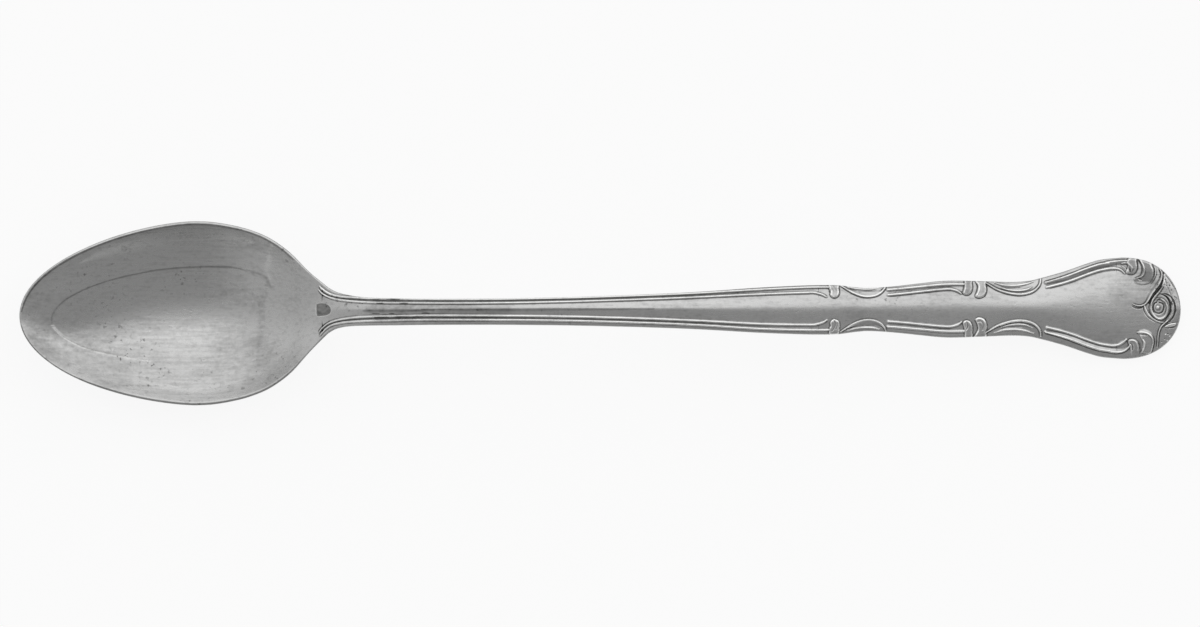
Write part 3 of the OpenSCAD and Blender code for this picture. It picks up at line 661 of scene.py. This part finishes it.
# Painted shade on the lower side just inside the bowl's tip
stain_and_shade([[0.9, -2.4, 1.4], [2.4, -3.8, 2.4], [4.6, -5.6, 2.6]], 0.22)
stain_and_shade([[2.6, -3.4, 2.2], [5, -4.9, 3.8], [8, -6, 4.6], [12, -7, 4.6], [17, -8, 3.6]], 0.17)
stain_and_shade([[10, -5, 3], [16, -7, 6], [24, -8, 7], [32, -8, 7], [40, -6, 5]], 0.11)
stain_and_shade([[32, 4, 2], [35, 3.4, 3.6], [37.6, 2.6, 3.4], [38.8, 0.6, 2]], 0.14)


def inside_rim(s, inset):
    """Distance across, an inset inside the rim: half-width less the inset over the slope's cosine."""
    return half_w(s) - inset * np.hypot(1, np.gradient(half_w(s), s))


# Painted shade: dark lines where the land meets the hollow on the upper side, and along the edge on the
# lower
rim_s = np.concatenate([4 * np.linspace(0.3, 1, 10) ** 2, np.arange(5, 46, 1.0)])
for side, inset, width, share in ((1, 0.5, 0.22, 0.75), (-1, 0.14, 0.16, 0.42)):
    stain_and_shade(track(rim_s, side * inside_rim(rim_s, inset), width), share, n=3)
# A painted highlight brightens the strip inside the upper rim
strip_s = np.arange(10.0, 39.0, 2.0)
strip_w = 1.9
strip_at, strip_in_l, strip_end, strip_out_l = 8, 10, 41, 8
strip_grows = smooth((strip_s - strip_at) / strip_in_l)
strip_widths = strip_w * strip_grows * smooth((strip_end - strip_s) / strip_out_l)
paint_highlight(track(strip_s, inside_rim(strip_s, strip_w), strip_widths), 0.36, n=3)
# Scuffs on the rim near the tip
for s_at, y_at in ((2.2, 4.7), (2.9, 5.4), (3.8, 6.3), (4.7, 7.0)):
    stain_and_shade([[s_at, y_at, 0.06], [s_at + 0.35, y_at + 0.3, 0.13], [s_at + 0.6, y_at + 0.5, 0.06]], 0.5)
# A long scratch, and a short one that meets its end
stain_and_shade([[14.9, -11.7, 0.05], [21, -11.8, 0.1], [27.6, -11.85, 0.05]], 0.3)
stain_and_shade([[26.3, -13.2, 0.05], [27.4, -12.4, 0.1], [28.4, -11.6, 0.05]], 0.22)

# Rows of the bowl: closer and closer at the nose, even along it, and close where the threads begin
nose_n, bowl_n, heel_n = 40, 210, 14
nose_l, heel_l = 3, 1
nose_share = np.linspace(0, 1, nose_n + 1)
bowl_rows = np.concatenate([nose_l * nose_share**2, np.linspace(nose_l, bowl_l - heel_l, bowl_n + 1)[1:],
                            np.linspace(bowl_l - heel_l, bowl_l, heel_n + 1)[1:]])
bowl = shell("bowl_shell", bowl_rows, columns(80, 9, 0.05), columns(24, 6, 0.06))
fit(bowl, "bowl")


# ---- The neck ----
# The shoulders, where the same metal draws in from the bowl to the stem. The shield and the ends of
# the border's threads are struck into them, and the crest of the handle begins here.
neck_rows = np.linspace(neck_at, stem_at, 100)
neck = shell("neck_blank", neck_rows, columns(84, 8, 0.1), columns(16, 6, 0.12))
fit(neck, "neck", "neck_shield", "neck_threads")


# ---- The stem ----
# The long slim stem, drawn out of the same metal and struck with a double thread along each edge.
# The inner thread hooks in towards the crest where it ends at the waist, and tarnish lies along the
# crest and in the grooves.
border_at = stem_at + neck_border_l
strike(border(border_at, 133.2, 0, thread_w), thread_h, mirror=True, n=2)
inner_thread = border(border_at, 130.2, 1, thread_w)
hook = [[131.2, 2.42, 0.31], [131.8, 2.2, 0.3], [132.25, 1.9, 0.2]]
strike(np.vstack([inner_thread, hook]), thread_h, mirror=True, n=2)
stain_and_shade([[66, 0, 0.2], [74, 0, 0.35], [84, -0.05, 0.42], [92, -0.05, 0.35], [104, 0, 0.2]], 0.55)
stain_and_shade([[56.5, -0.2, 0.3], [62, -0.2, 0.45], [68, -0.15, 0.3]], 0.4)
stain_and_shade([[57.6, 0, 1.4], [60.6, 0, 4.4], [64, 0, 5.2], [68, 0, 4.8], [74, 0, 3.6], [80, 0, 1.6]], 0.3)
# Short runs of tarnish beside the threads: place, distance from the crest, length
runs = [[57.5, 1.62, 1.6], [58.6, 1, 1.1], [60.2, 1.66, 2.2], [62.4, 0.98, 1.4], [58.2, -1.28, 2.4],
    [57.9, -0.66, 1.2], [60.6, -0.7, 0.9], [61.6, -1.22, 2], [64.6, -1.24, 1.6], [66, -0.62, 1.3]]
for s_at, y_at, run in runs:
    stain_and_shade([[s_at, y_at, 0.1], [s_at + run / 2, y_at, 0.22], [s_at + run, y_at, 0.1]], 0.75)

stem_rows = np.linspace(stem_at, waist_at, 560)
stem = shell("stem_blank", stem_rows, columns(52, 7, 0.1), columns(12, 5, 0.12))
fit(stem, "stem", "stem_threads")


# ---- The waist ----
# The handle's first waist and swell, struck in the same piece of metal. A curl closes the stem's
# border, a crescent reaches in at the waist, and a new border runs along the swell to two curls.
curl_h = 0.3
patch([[132.76, 4.28], [132.65, 3.32], [132.85, 2.84], [132.81, 2.3], [133.08, 1.87], [133.49, 1.69],
    [133.97, 1.81], [134.32, 2.19], [134.43, 2.7], [134.35, 3.18], [134.18, 4.27]],
    curl_h, 0.3, mirror=True)
cut([[133.17, -1.73, 0.08], [133.53, -2.12, 0.12], [133.67, -2.63, 0.12], [133.49, -3.27, 0.11],
    [133.17, -3.72, 0.07]], 0.08)
cut([[133.62, -1.65, 0.07], [134.02, -2.15, 0.11], [134.05, -2.76, 0.11], [133.78, -3.45, 0.08]], 0.06)
cut([[133.12, 3.32, 0.07], [133.35, 2.84, 0.11], [133.38, 2.29, 0.11], [133.28, 1.89, 0.07]], 0.05)
cut([[133.56, 3.45, 0.07], [133.86, 2.91, 0.1], [133.94, 2.36, 0.1], [133.86, 1.95, 0.07]], 0.04)
crescent_1 = [[134.5, 3.85, 0.1, 0.1], [135.3, 3.32, 0.2, 0.22], [136.3, 2.72, 0.26, 0.45],
    [137.3, 2.25, 0.28, 0.7], [138.4, 1.95, 0.28, 0.9], [139.5, 1.92, 0.28, 0.92],
    [140.5, 2.14, 0.28, 0.72], [141.3, 2.62, 0.26, 0.4], [141.8, 3.25, 0.2, 0.22], [142, 3.75, 0.1, 0.1]]
strike(crescent_1, 0.29, mirror=True)
cut([[135.4, 3.36, 0.06], [136.42, 3.09, 0.12], [137.5, 2.93, 0.14], [139, 2.84, 0.15], [140.4, 2.92, 0.14],
    [141.5, 3.14, 0.06]], 0.08, mirror=True)
strike([[135.7, 3.62, 0.08], [136.6, 3.36, 0.2], [137.5, 3.24, 0.24], [138.7, 3.17, 0.26],
    [139.9, 3.22, 0.24], [140.9, 3.42, 0.1]], 0.13, mirror=True)
strike(border(142.3, 155.4, 0, thread_w + 0.04), thread_h, mirror=True, n=3)
swell_thread = border(142.3, 152.4, 1, thread_w + 0.02)
swell_hook = [[153.3, 2.93, 0.33], [153.9, 2.7, 0.32], [154.4, 2.33, 0.2]]
strike(np.vstack([swell_thread, swell_hook]), thread_h, mirror=True)
patch([[155.01, 5.12], [154.9, 3.9], [154.8, 3.21], [154.62, 2.53], [154.8, 2.16], [155.28, 2.01],
    [155.8, 2.19], [156.15, 2.68], [156.28, 3.34], [156.23, 3.89], [156.13, 5.12]],
    curl_h, 0.32, mirror=True)
strike([[155.11, 3.76, 0.11], [155.09, 3.21, 0.16], [154.95, 2.67, 0.16], [154.9, 2.32, 0.08]],
    0.06, how="on")
cut([[155.28, -2.32, 0.11], [155.44, -2.8, 0.16], [155.35, -3.35, 0.14], [155.01, -3.76, 0.08]], 0.1)
cut([[154.9, -2.66, 0.07], [155.03, -3, 0.12], [154.95, -3.48, 0.08]], 0.08)
patch([[156.43, 5.11], [156.81, 4.09], [157.05, 3.61], [157.03, 2.99], [156.84, 2.45],
    [156.62, 1.94], [156.89, 1.65], [157.4, 1.54], [158.04, 1.75], [158.48, 2.3], [158.61, 3.05],
    [158.5, 3.73], [158.39, 5.1]], curl_h + 0.02, 0.36, mirror=True)
strike([[157.22, 3.88, 0.14], [157.38, 3.26, 0.22], [157.27, 2.65, 0.22], [156.95, 2.04, 0.11]],
    0.05, how="on")
cut([[157.05, -2.34, 0.11], [157.63, -2.27, 0.19], [158.01, -2.82, 0.22], [157.87, -3.64, 0.14]], 0.07)

# Painted shade on the upper curls and along the inner side of the upper border's inner thread
stain_and_shade([[133.49, 3.87, 0.82], [133.49, 2.77, 1.09], [133.49, 1.82, 0.68]], 0.18)
stain_and_shade([[155.58, 4.71, 0.68], [155.58, 3.48, 1.09], [155.47, 2.39, 0.68]], 0.42)
stain_and_shade([[157.67, 4.69, 0.82], [157.87, 3.19, 1.23], [157.6, 1.83, 0.68]], 0.16)
stain_and_shade(border(142.6, 152.6, 1.4, 0.2), 0.45, n=2)

waist_rows = np.linspace(waist_at, flare_at, 330)
waist = shell("waist_blank", waist_rows, columns(100, 8, 0.07), columns(16, 6, 0.08))
fit(waist, "waist", "waist_crescents", "waist_threads", "waist_curls")


# ---- The flare ----
# The second waist and the flare to the broad end, struck in the same piece of metal, with a larger
# crescent and a border whose outer thread widens to a band. Its ends run on into the tip.
crescent_2 = [[158.1, 4.25, 0.1, 0.1], [158.9, 3.8, 0.22, 0.2], [160.3, 3, 0.3, 0.28],
    [162, 2.42, 0.33, 0.36], [163.7, 2.15, 0.34, 0.42], [165, 2.24, 0.34, 0.4], [166.1, 2.6, 0.33, 0.34],
    [166.9, 3.2, 0.3, 0.28], [167.35, 3.9, 0.28, 0.25], [167.45, 4.7, 0.2, 0.2]]
strike(crescent_2, 0.31, mirror=True)
strike([[160.9, 3.25, 0.1], [162.2, 2.9, 0.22], [163.7, 2.77, 0.28], [165.1, 2.93, 0.24],
    [166.1, 3.4, 0.1]], 0.15, mirror=True)
cut([[160, 3.66, 0.06], [161.5, 3.33, 0.13], [163.2, 3.24, 0.15], [164.8, 3.4, 0.13], [166.2, 3.9, 0.06]],
    0.09, mirror=True)
strike([[159.8, 4.12, 0.1], [161, 3.76, 0.26], [162.2, 3.62, 0.3], [163.7, 3.64, 0.3], [165.1, 3.88, 0.26],
    [166.3, 4.25, 0.1]], 0.16, mirror=True)
band_at, band_widening_l = 168.0, 5
band_outer_w, band_inner_w = 0.2, 0.4
band = border(band_at, 178.6, 0.08, band_outer_w)
band = np.hstack([band, band[:, 2:]])
band[:, 2] = band_inner_w + 0.4 * smooth((band[:, 0] - band_at) / band_widening_l)
strike(band, 0.32, mirror=True, n=3)
# Painted shade on the upper side: inside the inner thread and along the inner slope of the band
stain_and_shade(border(168.5, 179.5, 1.36, 0.2), 0.6, n=2)
stain_and_shade([[172.22, 5.05, 0.19], [173.86, 5.67, 0.25], [175.5, 6.21, 0.3], [177.14, 6.58, 0.33],
    [178.78, 6.81, 0.36], [180.01, 6.92, 0.36], [180.96, 6.87, 0.33], [181.51, 6.65, 0.19]], 0.45)
strike(border(168.0, 178.2, 1, thread_w + 0.04), thread_h, mirror=True, n=3)

# The upper border's end: the inner thread frays, and the outer band goes on
strike([[178.09, 6.24, 0.36], [179.05, 6.36, 0.36], [180.01, 6.33, 0.33], [180.69, 6.12, 0.27],
    [181.13, 5.75, 0.19], [181.37, 5.42, 0.08]], thread_h)
cut([[180.35, 6.73, 0.07], [180.8, 6.39, 0.11], [181.18, 5.98, 0.11], [181.45, 5.61, 0.05]], 0.08)
strike([[178.23, 7.34, 0.77, 0.19], [179.6, 7.55, 0.77, 0.19], [180.69, 7.63, 0.71, 0.19],
    [181.51, 7.63, 0.63, 0.22], [182.33, 7.55, 0.52, 0.27]], 0.32)
# The lower border's end
strike([[178.09, -6.22, 0.36], [179.19, -6.36, 0.36], [180.21, -6.22, 0.37], [180.96, -5.81, 0.37],
    [181.51, -5.38, 0.23]], thread_h)
strike([[178.42, -7.28, 0.19, 0.77], [179.6, -7.48, 0.19, 0.74], [180.69, -7.42, 0.19, 0.63],
    [181.4, -7.12, 0.19, 0.49], [181.97, -6.61, 0.16, 0.36], [182.27, -6.11, 0.14, 0.22],
    [182.49, -5.7, 0.11, 0.11]], 0.3)
# Broad soft darkening that grows towards the end
stain_and_shade([[179.6, 2, 2.5], [182, 2.4, 5], [184.6, 2.6, 6.6], [188, 2.4, 6.8], [190.5, 1.6, 6]], 0.24)
stain_and_shade([[181, 7.2, 1.6], [183.4, 6, 2.6], [186, 4.4, 2.8], [188.2, 1.8, 2.4], [188.6, -1.6, 1.6]], 0.26)

flare_rows = np.linspace(flare_at, tip_at, 330)
flare = shell("flare_blank", flare_rows, columns(110, 8, 0.06), columns(18, 6, 0.06))
fit(flare, "flare", "flare_crescents", "flare_threads", "flare_curls")


# ---- The tip ----
# The rounded end of the handle, struck in the same piece of metal. A curl and a bud close each
# border, and a scroll sweeps in to a volute, with a leaf and a stippled field by the edge.

# The upper border's inner thread ends in a fine hook, and its band rolls into a curl
strike([[180.76, 6.78, 0.08], [181.24, 6.48, 0.14], [181.59, 6.05, 0.12], [181.71, 5.57, 0.07]], 0.12)
patch([[182.16, 8.15], [181.59, 7.41], [181.81, 6.93], [181.75, 6.39], [181.48, 5.75],
    [181.71, 5.36], [182.33, 5.22], [182.88, 5.39], [183.28, 5.91], [183.45, 6.52], [183.39, 7.27],
    [183.18, 8.5]], 0.28, 0.3, lean=0.5)
strike([[180.83, 7.14, 0.11], [181.51, 7.17, 0.25], [182.14, 6.92, 0.3], [182.52, 6.4, 0.3],
    [182.44, 5.88, 0.16]], 0.14, how="on", flat=0.1)
cut([[181.95, 6.43, 0.11], [182.16, 6.07, 0.27], [182.22, 5.83, 0.22]], 0.12)
# The upper bud: a comma with a bright left ridge that turns round a dimple
patch([[183.35, 8.78], [183.94, 7.27], [184.19, 6.52], [184.13, 5.7], [183.78, 5.11], [183.15, 4.84],
    [182.79, 4.61], [183.09, 4.06], [183.64, 3.75], [184.31, 3.61], [185.13, 3.83], [185.74, 4.4],
    [186.1, 5.29], [186.13, 6.18], [185.85, 6.86], [185.36, 8.36]], 0.34, 0.34, lean=0.62)
strike([[183.75, 7.71, 0.11], [184.21, 7, 0.2], [184.51, 6.25, 0.23], [184.51, 5.56, 0.22],
    [184.19, 5.06, 0.2], [183.56, 4.79, 0.14], [183.09, 4.68, 0.07]], 0.16, how="on", flat=0.1)
cut([[183.56, 4.7, 0.11], [183.91, 4.54, 0.26], [184.04, 4.51, 0.22]], 0.14)
strike([[186.22, 6.65, 0.08], [186.43, 5.97, 0.16], [186.35, 5.22, 0.18], [186.04, 4.51, 0.15],
    [185.61, 3.85, 0.07]], 0.18)
stain_and_shade([[186.04, 6.86, 0.08], [186.22, 6.24, 0.15], [186.25, 5.15, 0.16], [185.96, 4.37, 0.16],
    [185.12, 3.77, 0.15], [184, 3.61, 0.14], [183.12, 3.86, 0.14], [182.82, 4.35, 0.08]], 0.5)
stain_and_shade([[183.31, 7.79, 0.12], [183.56, 7.05, 0.19], [183.48, 6.21, 0.19], [183.11, 5.54, 0.18],
    [182.53, 5.25, 0.15], [181.82, 5.39, 0.1]], 0.55)
# The scroll: a ridge from the edge sweeps in along the volute and ends in a thin tendril
strike([[187.06, 6.37, 0.14, 0.08], [187.41, 5.71, 0.3, 0.12], [187.51, 5.03, 0.44, 0.15],
    [187.3, 4.29, 0.55, 0.15], [186.85, 3.5, 0.6, 0.16], [186.3, 2.79, 0.6, 0.16],
    [185.73, 1.94, 0.57, 0.16], [185.27, 1.15, 0.46, 0.16], [184.76, 0.52, 0.33, 0.16],
    [184.13, 0.22, 0.25, 0.18], [183.39, 0.2, 0.2, 0.16], [182.63, 0.47, 0.1, 0.08]], 0.34, flat=0.05)
cut([[182.49, 0.11, 0.07], [183.09, -0.16, 0.14], [183.78, -0.21, 0.15], [184.35, -0.02, 0.12],
    [184.62, 0.28, 0.07]], 0.1)
# Painted shade on the upper curl
stain_and_shade([[182.4, 7.82, 0.82], [182.6, 6.73, 1.09], [182.33, 5.63, 0.82]], 0.26)
# Painted highlights along the scroll's ridge, on the lower side of the volute's coil and on the leaf
paint_highlight([[187.33, 4.92, 0.11], [187, 3.96, 0.2], [186.37, 3.09, 0.25], [185.69, 2.16, 0.25],
    [185.22, 1.26, 0.19], [184.84, 0.58, 0.15], [184.13, 0.28, 0.18], [183.37, 0.25, 0.15],
    [182.71, 0.44, 0.07]], 0.5)
paint_highlight([[186.29, -1.69, 0.08], [186.84, -2.08, 0.18], [187.57, -2.11, 0.2], [188.29, -1.7, 0.19],
    [188.64, -1.12, 0.1]], 0.4)
paint_highlight([[188.13, -2.98, 0.08], [188.89, -2.82, 0.18], [189.71, -2.6, 0.11]], 0.5)
# The volute: one coil and a ball, with a cut line round each
patch([[187.79, 4.94], [187.38, 3.58], [186.56, 2.49], [185.68, 1.39], [185.22, -0.11],
    [185.61, -1.47], [186.84, -2.3], [188.2, -2.02], [189.02, -1.07], [189.23, 0.43], [189.02, 1.66],
    [188.61, 2.76], [188.2, 3.85]], 0.14, 0.3)
strike([[187.59, 3.44, 0.19, 0.19], [186.95, 2.49, 0.3, 0.33], [186.18, 1.59, 0.3, 0.36],
    [185.72, 0.68, 0.27, 0.33], [185.63, -0.24, 0.25, 0.3], [185.91, -1.17, 0.25, 0.46],
    [186.59, -1.89, 0.25, 0.63], [187.41, -1.91, 0.25, 0.68], [188.09, -1.34, 0.27, 0.63],
    [188.37, -0.33, 0.3, 0.52], [188.15, 0.63, 0.33, 0.44], [187.6, 1.23, 0.3, 0.38],
    [187, 1.42, 0.25, 0.27], [186.43, 1.26, 0.14, 0.14]], 0.34, flat=0.1)
strike([[187.86, 2.05, 0.11], [188.54, 1.72, 0.25], [189.1, 0.84, 0.33], [189.21, -0.25, 0.36],
    [188.97, -1.23, 0.33], [188.39, -2.02, 0.27], [187.86, -2.52, 0.14]], 0.27, flat=0.1)
cut([[187.79, 5.83, 0.11], [187.62, 5.22, 0.16], [187.52, 4.51, 0.19], [187.16, 3.51, 0.2],
    [186.51, 2.62, 0.2], [185.84, 1.75, 0.2], [185.38, 0.86, 0.19], [185.21, -0.03, 0.19],
    [185.4, -0.94, 0.18], [185.95, -1.69, 0.18], [186.82, -2.13, 0.18], [187.62, -2.13, 0.18],
    [188.23, -1.59, 0.19], [188.72, -0.77, 0.19], [188.79, 0.16, 0.19], [188.61, 1.06, 0.18],
    [188.07, 1.8, 0.16], [187.27, 2.16, 0.08]], 0.2)
cut([[186.95, 0.76, 0.11], [187.57, 0.55, 0.18], [187.7, -0.11, 0.19], [187.41, -0.79, 0.19],
    [186.78, -1.01, 0.19], [186.18, -0.74, 0.19], [185.98, -0.11, 0.19], [186.15, 0.52, 0.16],
    [186.59, 0.82, 0.11]], 0.18)
strike([[186.73, -0.05, 0.68], [186.74, -0.07, 0.68]], 0.46)
cut([[187.06, 2.1, 0.05], [188.05, 2.21, 0.12], [188.94, 1.75, 0.15], [189.5, 0.73, 0.16],
    [189.61, -0.33, 0.16], [189.27, -1.48, 0.15], [188.5, -2.46, 0.08]], 0.11)
stain_and_shade([[187.68, 5.74, 0.08], [187.52, 4.53, 0.11], [187.11, 3.41, 0.12], [186.28, 2.28, 0.12],
    [185.57, 1.26, 0.14], [185.25, 0.25, 0.15], [185.39, -0.89, 0.15], [185.94, -1.82, 0.15],
    [186.93, -2.24, 0.15], [187.86, -2, 0.16], [188.59, -1.03, 0.16], [188.67, 0.24, 0.16],
    [188.31, 1.35, 0.15], [187.64, 2.01, 0.14], [186.93, 2.16, 0.08]], 0.4)
# The plain band outside the volute, and its thin step to the panel
strike([[184.54, 0.19, 0.16], [184.73, -0.43, 0.25], [185.06, -1.06, 0.25], [185.63, -1.69, 0.25],
    [186.43, -2.21, 0.22], [187.19, -2.46, 0.16], [187.79, -2.46, 0.08]], 0.16, flat=0.2)
cut([[184.32, 0.09, 0.11], [184.43, -0.65, 0.12], [184.9, -1.45, 0.12], [185.66, -2.08, 0.12],
    [186.56, -2.54, 0.1], [187.27, -2.65, 0.05]], 0.07)
# The lower stem of the scroll, a leaf on its right, and small pits in the field behind
strike([[188.34, -2.19, 0.16], [187.77, -2.65, 0.22], [187.25, -3.23, 0.2], [186.92, -4.02, 0.18],
    [186.75, -4.97, 0.16], [186.7, -5.93, 0.15], [186.59, -6.67, 0.08]], 0.3, flat=0.1)
cut([[185.58, -3.91, 0.08], [186.04, -4.48, 0.15], [186.35, -5.25, 0.18], [186.39, -5.98, 0.16],
    [186.24, -6.53, 0.08]], 0.12)
patch([[187.77, -3.2], [188.2, -2.84], [188.95, -2.54], [189.71, -2.44], [189.57, -2.87],
    [188.95, -3.15], [188.27, -3.34]], 0.22, 0.18)
cut([[187.96, -3.39, 0.05], [188.78, -3.31, 0.14], [189.6, -3.15, 0.07]], 0.1)
cut([[188.2, -2.52, 0.05], [188.82, -2.33, 0.1], [189.3, -2.14, 0.05]], 0.07)
cut([[187.7, 5.74, 0.07], [188.34, 4.97, 0.12], [188.95, 4.19, 0.14], [189.32, 3.51, 0.07]], 0.09)
for pit in [[188.69, 3.6, 0.2], [187.96, 4.6, 0.12], [187.86, -5.17, 0.14], [188.39, -4.32, 0.18],
     [188.95, 2.89, 0.12], [188.82, -5.17, 0.11], [188.2, 3.58, 0.11], [187.38, -5.71, 0.12]]:
    cut([pit, [pit[0] + 0.01, *pit[1:]]], 0.12)
for grain in [[188.34, 4.23, 0.16], [187.86, 5.22, 0.14], [189.09, 3.17, 0.16], [188.54, 2.96, 0.15],
     [188, -4.48, 0.16], [188.68, -4.76, 0.15], [188.27, -5.51, 0.16], [187.66, -6.26, 0.14]]:
    strike([grain, [grain[0] + 0.01, *grain[1:]]], 0.09)
# The lower border's curl and bud
patch([[181.75, -5.59], [182.16, -5.24], [182.88, -5.27], [183.39, -5.68], [183.67, -6.32],
    [183.69, -7.07], [183.59, -7.76], [183.23, -8.3], [182.63, -8.36], [182.27, -7.62], [182.19, -6.93],
    [181.97, -6.25]], 0.22, 0.32, lean=0.55)
cut([[182.06, -5.98, 0.11], [182.41, -6.14, 0.25], [182.6, -6.52, 0.22], [182.57, -7.07, 0.11]], 0.12)
strike([[181.92, -5.68, 0.14], [182.33, -5.49, 0.27], [182.94, -5.62, 0.26], [183.34, -6.09, 0.18],
    [183.48, -6.69, 0.12], [183.39, -7.21, 0.05]], 0.08, how="on")
cut([[183.59, -5.49, 0.07], [183.86, -6.12, 0.14], [183.86, -6.94, 0.15], [183.67, -7.78, 0.1]], 0.14)
stain_and_shade([[183.56, -5.49, 0.08], [183.85, -6.12, 0.15], [183.86, -6.94, 0.16], [183.67, -7.84, 0.11]], 0.5)
patch([[183.31, -4.18], [183.69, -3.82], [184.38, -3.66], [185.09, -3.82], [185.63, -4.34],
    [186.02, -5.19], [186.04, -5.98], [185.85, -6.8], [185.54, -7.62], [184.92, -7.76], [184.38, -7.62],
    [184.02, -7.41], [184.1, -6.8], [184.24, -5.98], [183.97, -5.16], [183.69, -4.61]], 0.16, 0.26)
strike([[183.28, -4.18, 0.08, 0.11], [183.8, -4.2, 0.14, 0.46], [184.46, -4.26, 0.16, 0.68],
    [185.09, -4.45, 0.16, 0.63], [185.58, -4.81, 0.16, 0.41], [185.91, -5.33, 0.16, 0.22],
    [185.96, -5.93, 0.16, 0.16], [185.8, -6.67, 0.14, 0.14], [185.63, -7.28, 0.08, 0.08]], 0.36)
cut([[183.67, -4.5, 0.08], [184.31, -4.61, 0.15], [184.92, -4.67, 0.11]], 0.09)
strike([[184.27, -5.41, 0.08], [184.57, -6.04, 0.18], [184.46, -6.8, 0.18], [184.02, -7.46, 0.1]],
    0.12, how="on")

tip_share = np.linspace(0, 1, 221)
tip_rows = tip_at + (spoon_l - tip_at) * (1.5 * tip_share - 0.5 * tip_share**3)
tip = shell("tip_blank", tip_rows, columns(150, 8, 0.05), columns(18, 6, 0.06))
fit(tip, "tip", "tip_buds", "tip_scroll", "tip_volute", "tip_leaves")


# ---- The table, the light and the camera ----
# A plain white table, a broad soft light and a pale studio. The light comes from beyond the spoon, so
# that the slopes that face +Y are bright and the others dark. The camera looks straight down.
floor_mesh = bpy.data.meshes.new("table_top")
floor_half = 3.0
floor_z = -0.00002
corners = [(x * floor_half, y * floor_half, floor_z) for x, y in ((-1, -1), (1, -1), (1, 1), (-1, 1))]
floor_mesh.from_pydata(corners, [], [(0, 1, 2, 3)])
add_object("table_top", floor_mesh)

table_white = bpy.data.materials.new("table_white")
table_white.use_nodes = True
nodes = table_white.node_tree.nodes
matt = nodes["Principled BSDF"]
finish = {"Base Color": (0.9, 0.9, 0.9, 1), "Roughness": 0.9, "Specular IOR Level": 0.0}
for socket, value in finish.items():
    matt.inputs[socket].default_value = value
# To the camera most of the table is a white of its own, and the rest keeps the spoon's shadow
white_part = 0.9
seen = Value(nodes, add_node(nodes, "ShaderNodeLightPath").outputs["Is Camera Ray"])
glow = add_node(nodes, "ShaderNodeEmission", {}, {"Color": (1, 1, 1, 1), "Strength": 1.0})
shade = add_node(nodes, "ShaderNodeMixShader", {}, {
    0: seen * white_part, 1: matt.outputs[0], 2: glow.outputs[0]})
nodes.id_data.links.new(shade.outputs[0], nodes["Material Output"].inputs["Surface"])
floor_mesh.materials.append(table_white)

world = bpy.data.worlds.new("studio")
bpy.context.scene.world = world
world.use_nodes = True
nodes = world.node_tree.nodes
sky = add_node(nodes, "ShaderNodeSeparateXYZ", {}, {
    "Vector": add_node(nodes, "ShaderNodeTexCoord").outputs["Generated"]})
side = Value(nodes, sky.outputs["Y"])
right = Value(nodes, sky.outputs["X"])
# Level of the studio by direction: dim on the near side, then steps of (start, end, rise) along Y,
# more even on the left and darker at the far right
level = 0.24
for low, high, rise in ((-1.0, -0.86, 0.12), (-0.12, 0.28, 0.9), (0.38, 0.72, -0.46), (0.9, 1.0, 0.35)):
    level = level + side.ramp(low, high) * rise
left_level, left_share, right_fall = 0.62, 0.75, 0.45
level = level + (left_level - level) * ((0 - right).ramp(0.1, 0.7) * left_share)
level = level * (1 - right.ramp(0.8, 1.0) * right_fall)
grey = add_node(nodes, "ShaderNodeCombineColor", {}, {"Red": level, "Green": level, "Blue": level})
camera_ray = add_node(nodes, "ShaderNodeLightPath").outputs["Is Camera Ray"]
background = mix_colours(nodes, camera_ray, grey.outputs[0], (1, 1, 1, 1))
nodes.id_data.links.new(background, nodes["Background"].inputs["Color"])

softbox = bpy.data.lights.new("softbox", "AREA")
softbox.shape = "RECTANGLE"
softbox.size, softbox.size_y = 2.6, 1.4
softbox.energy = 3.0
softbox_place = Vector((0.0, 1.5, 1.0))
softbox_object = add_object("softbox", softbox)
softbox_object.location = softbox_place
softbox_object.rotation_euler = (Vector((0, 0, 0)) - softbox_place).to_track_quat("-Z", "Y").to_euler()

# The photograph is 1200 x 627 pixels at 0.16394 mm a pixel, and the spoon's axis rises a little to
# the right in it. Its widths were measured at the height of the bowl's rim.
pixel = 0.16394 * MM
photo_size = (1200, 627)
spoon_middle_px = (600.5, 311.1)
axis_rise = 0.0055
view_height = 7 * MM
camera = bpy.data.cameras.new("camera")
camera.lens = 700
distance = photo_size[0] * pixel * camera.lens / camera.sensor_width
camera.clip_end = 20
camera_object = add_object("camera", camera)
turn = Matrix.Rotation(-axis_rise, 3, "Z")
off = Vector((photo_size[0] / 2 - spoon_middle_px[0], spoon_middle_px[1] - photo_size[1] / 2, 0)) * pixel
camera_object.location = turn @ off + Vector((0, 0, view_height + distance))
camera_object.rotation_euler = (0, 0, -axis_rise)
bpy.context.scene.camera = camera_object
bpy.context.scene.view_settings.view_transform = "Standard"
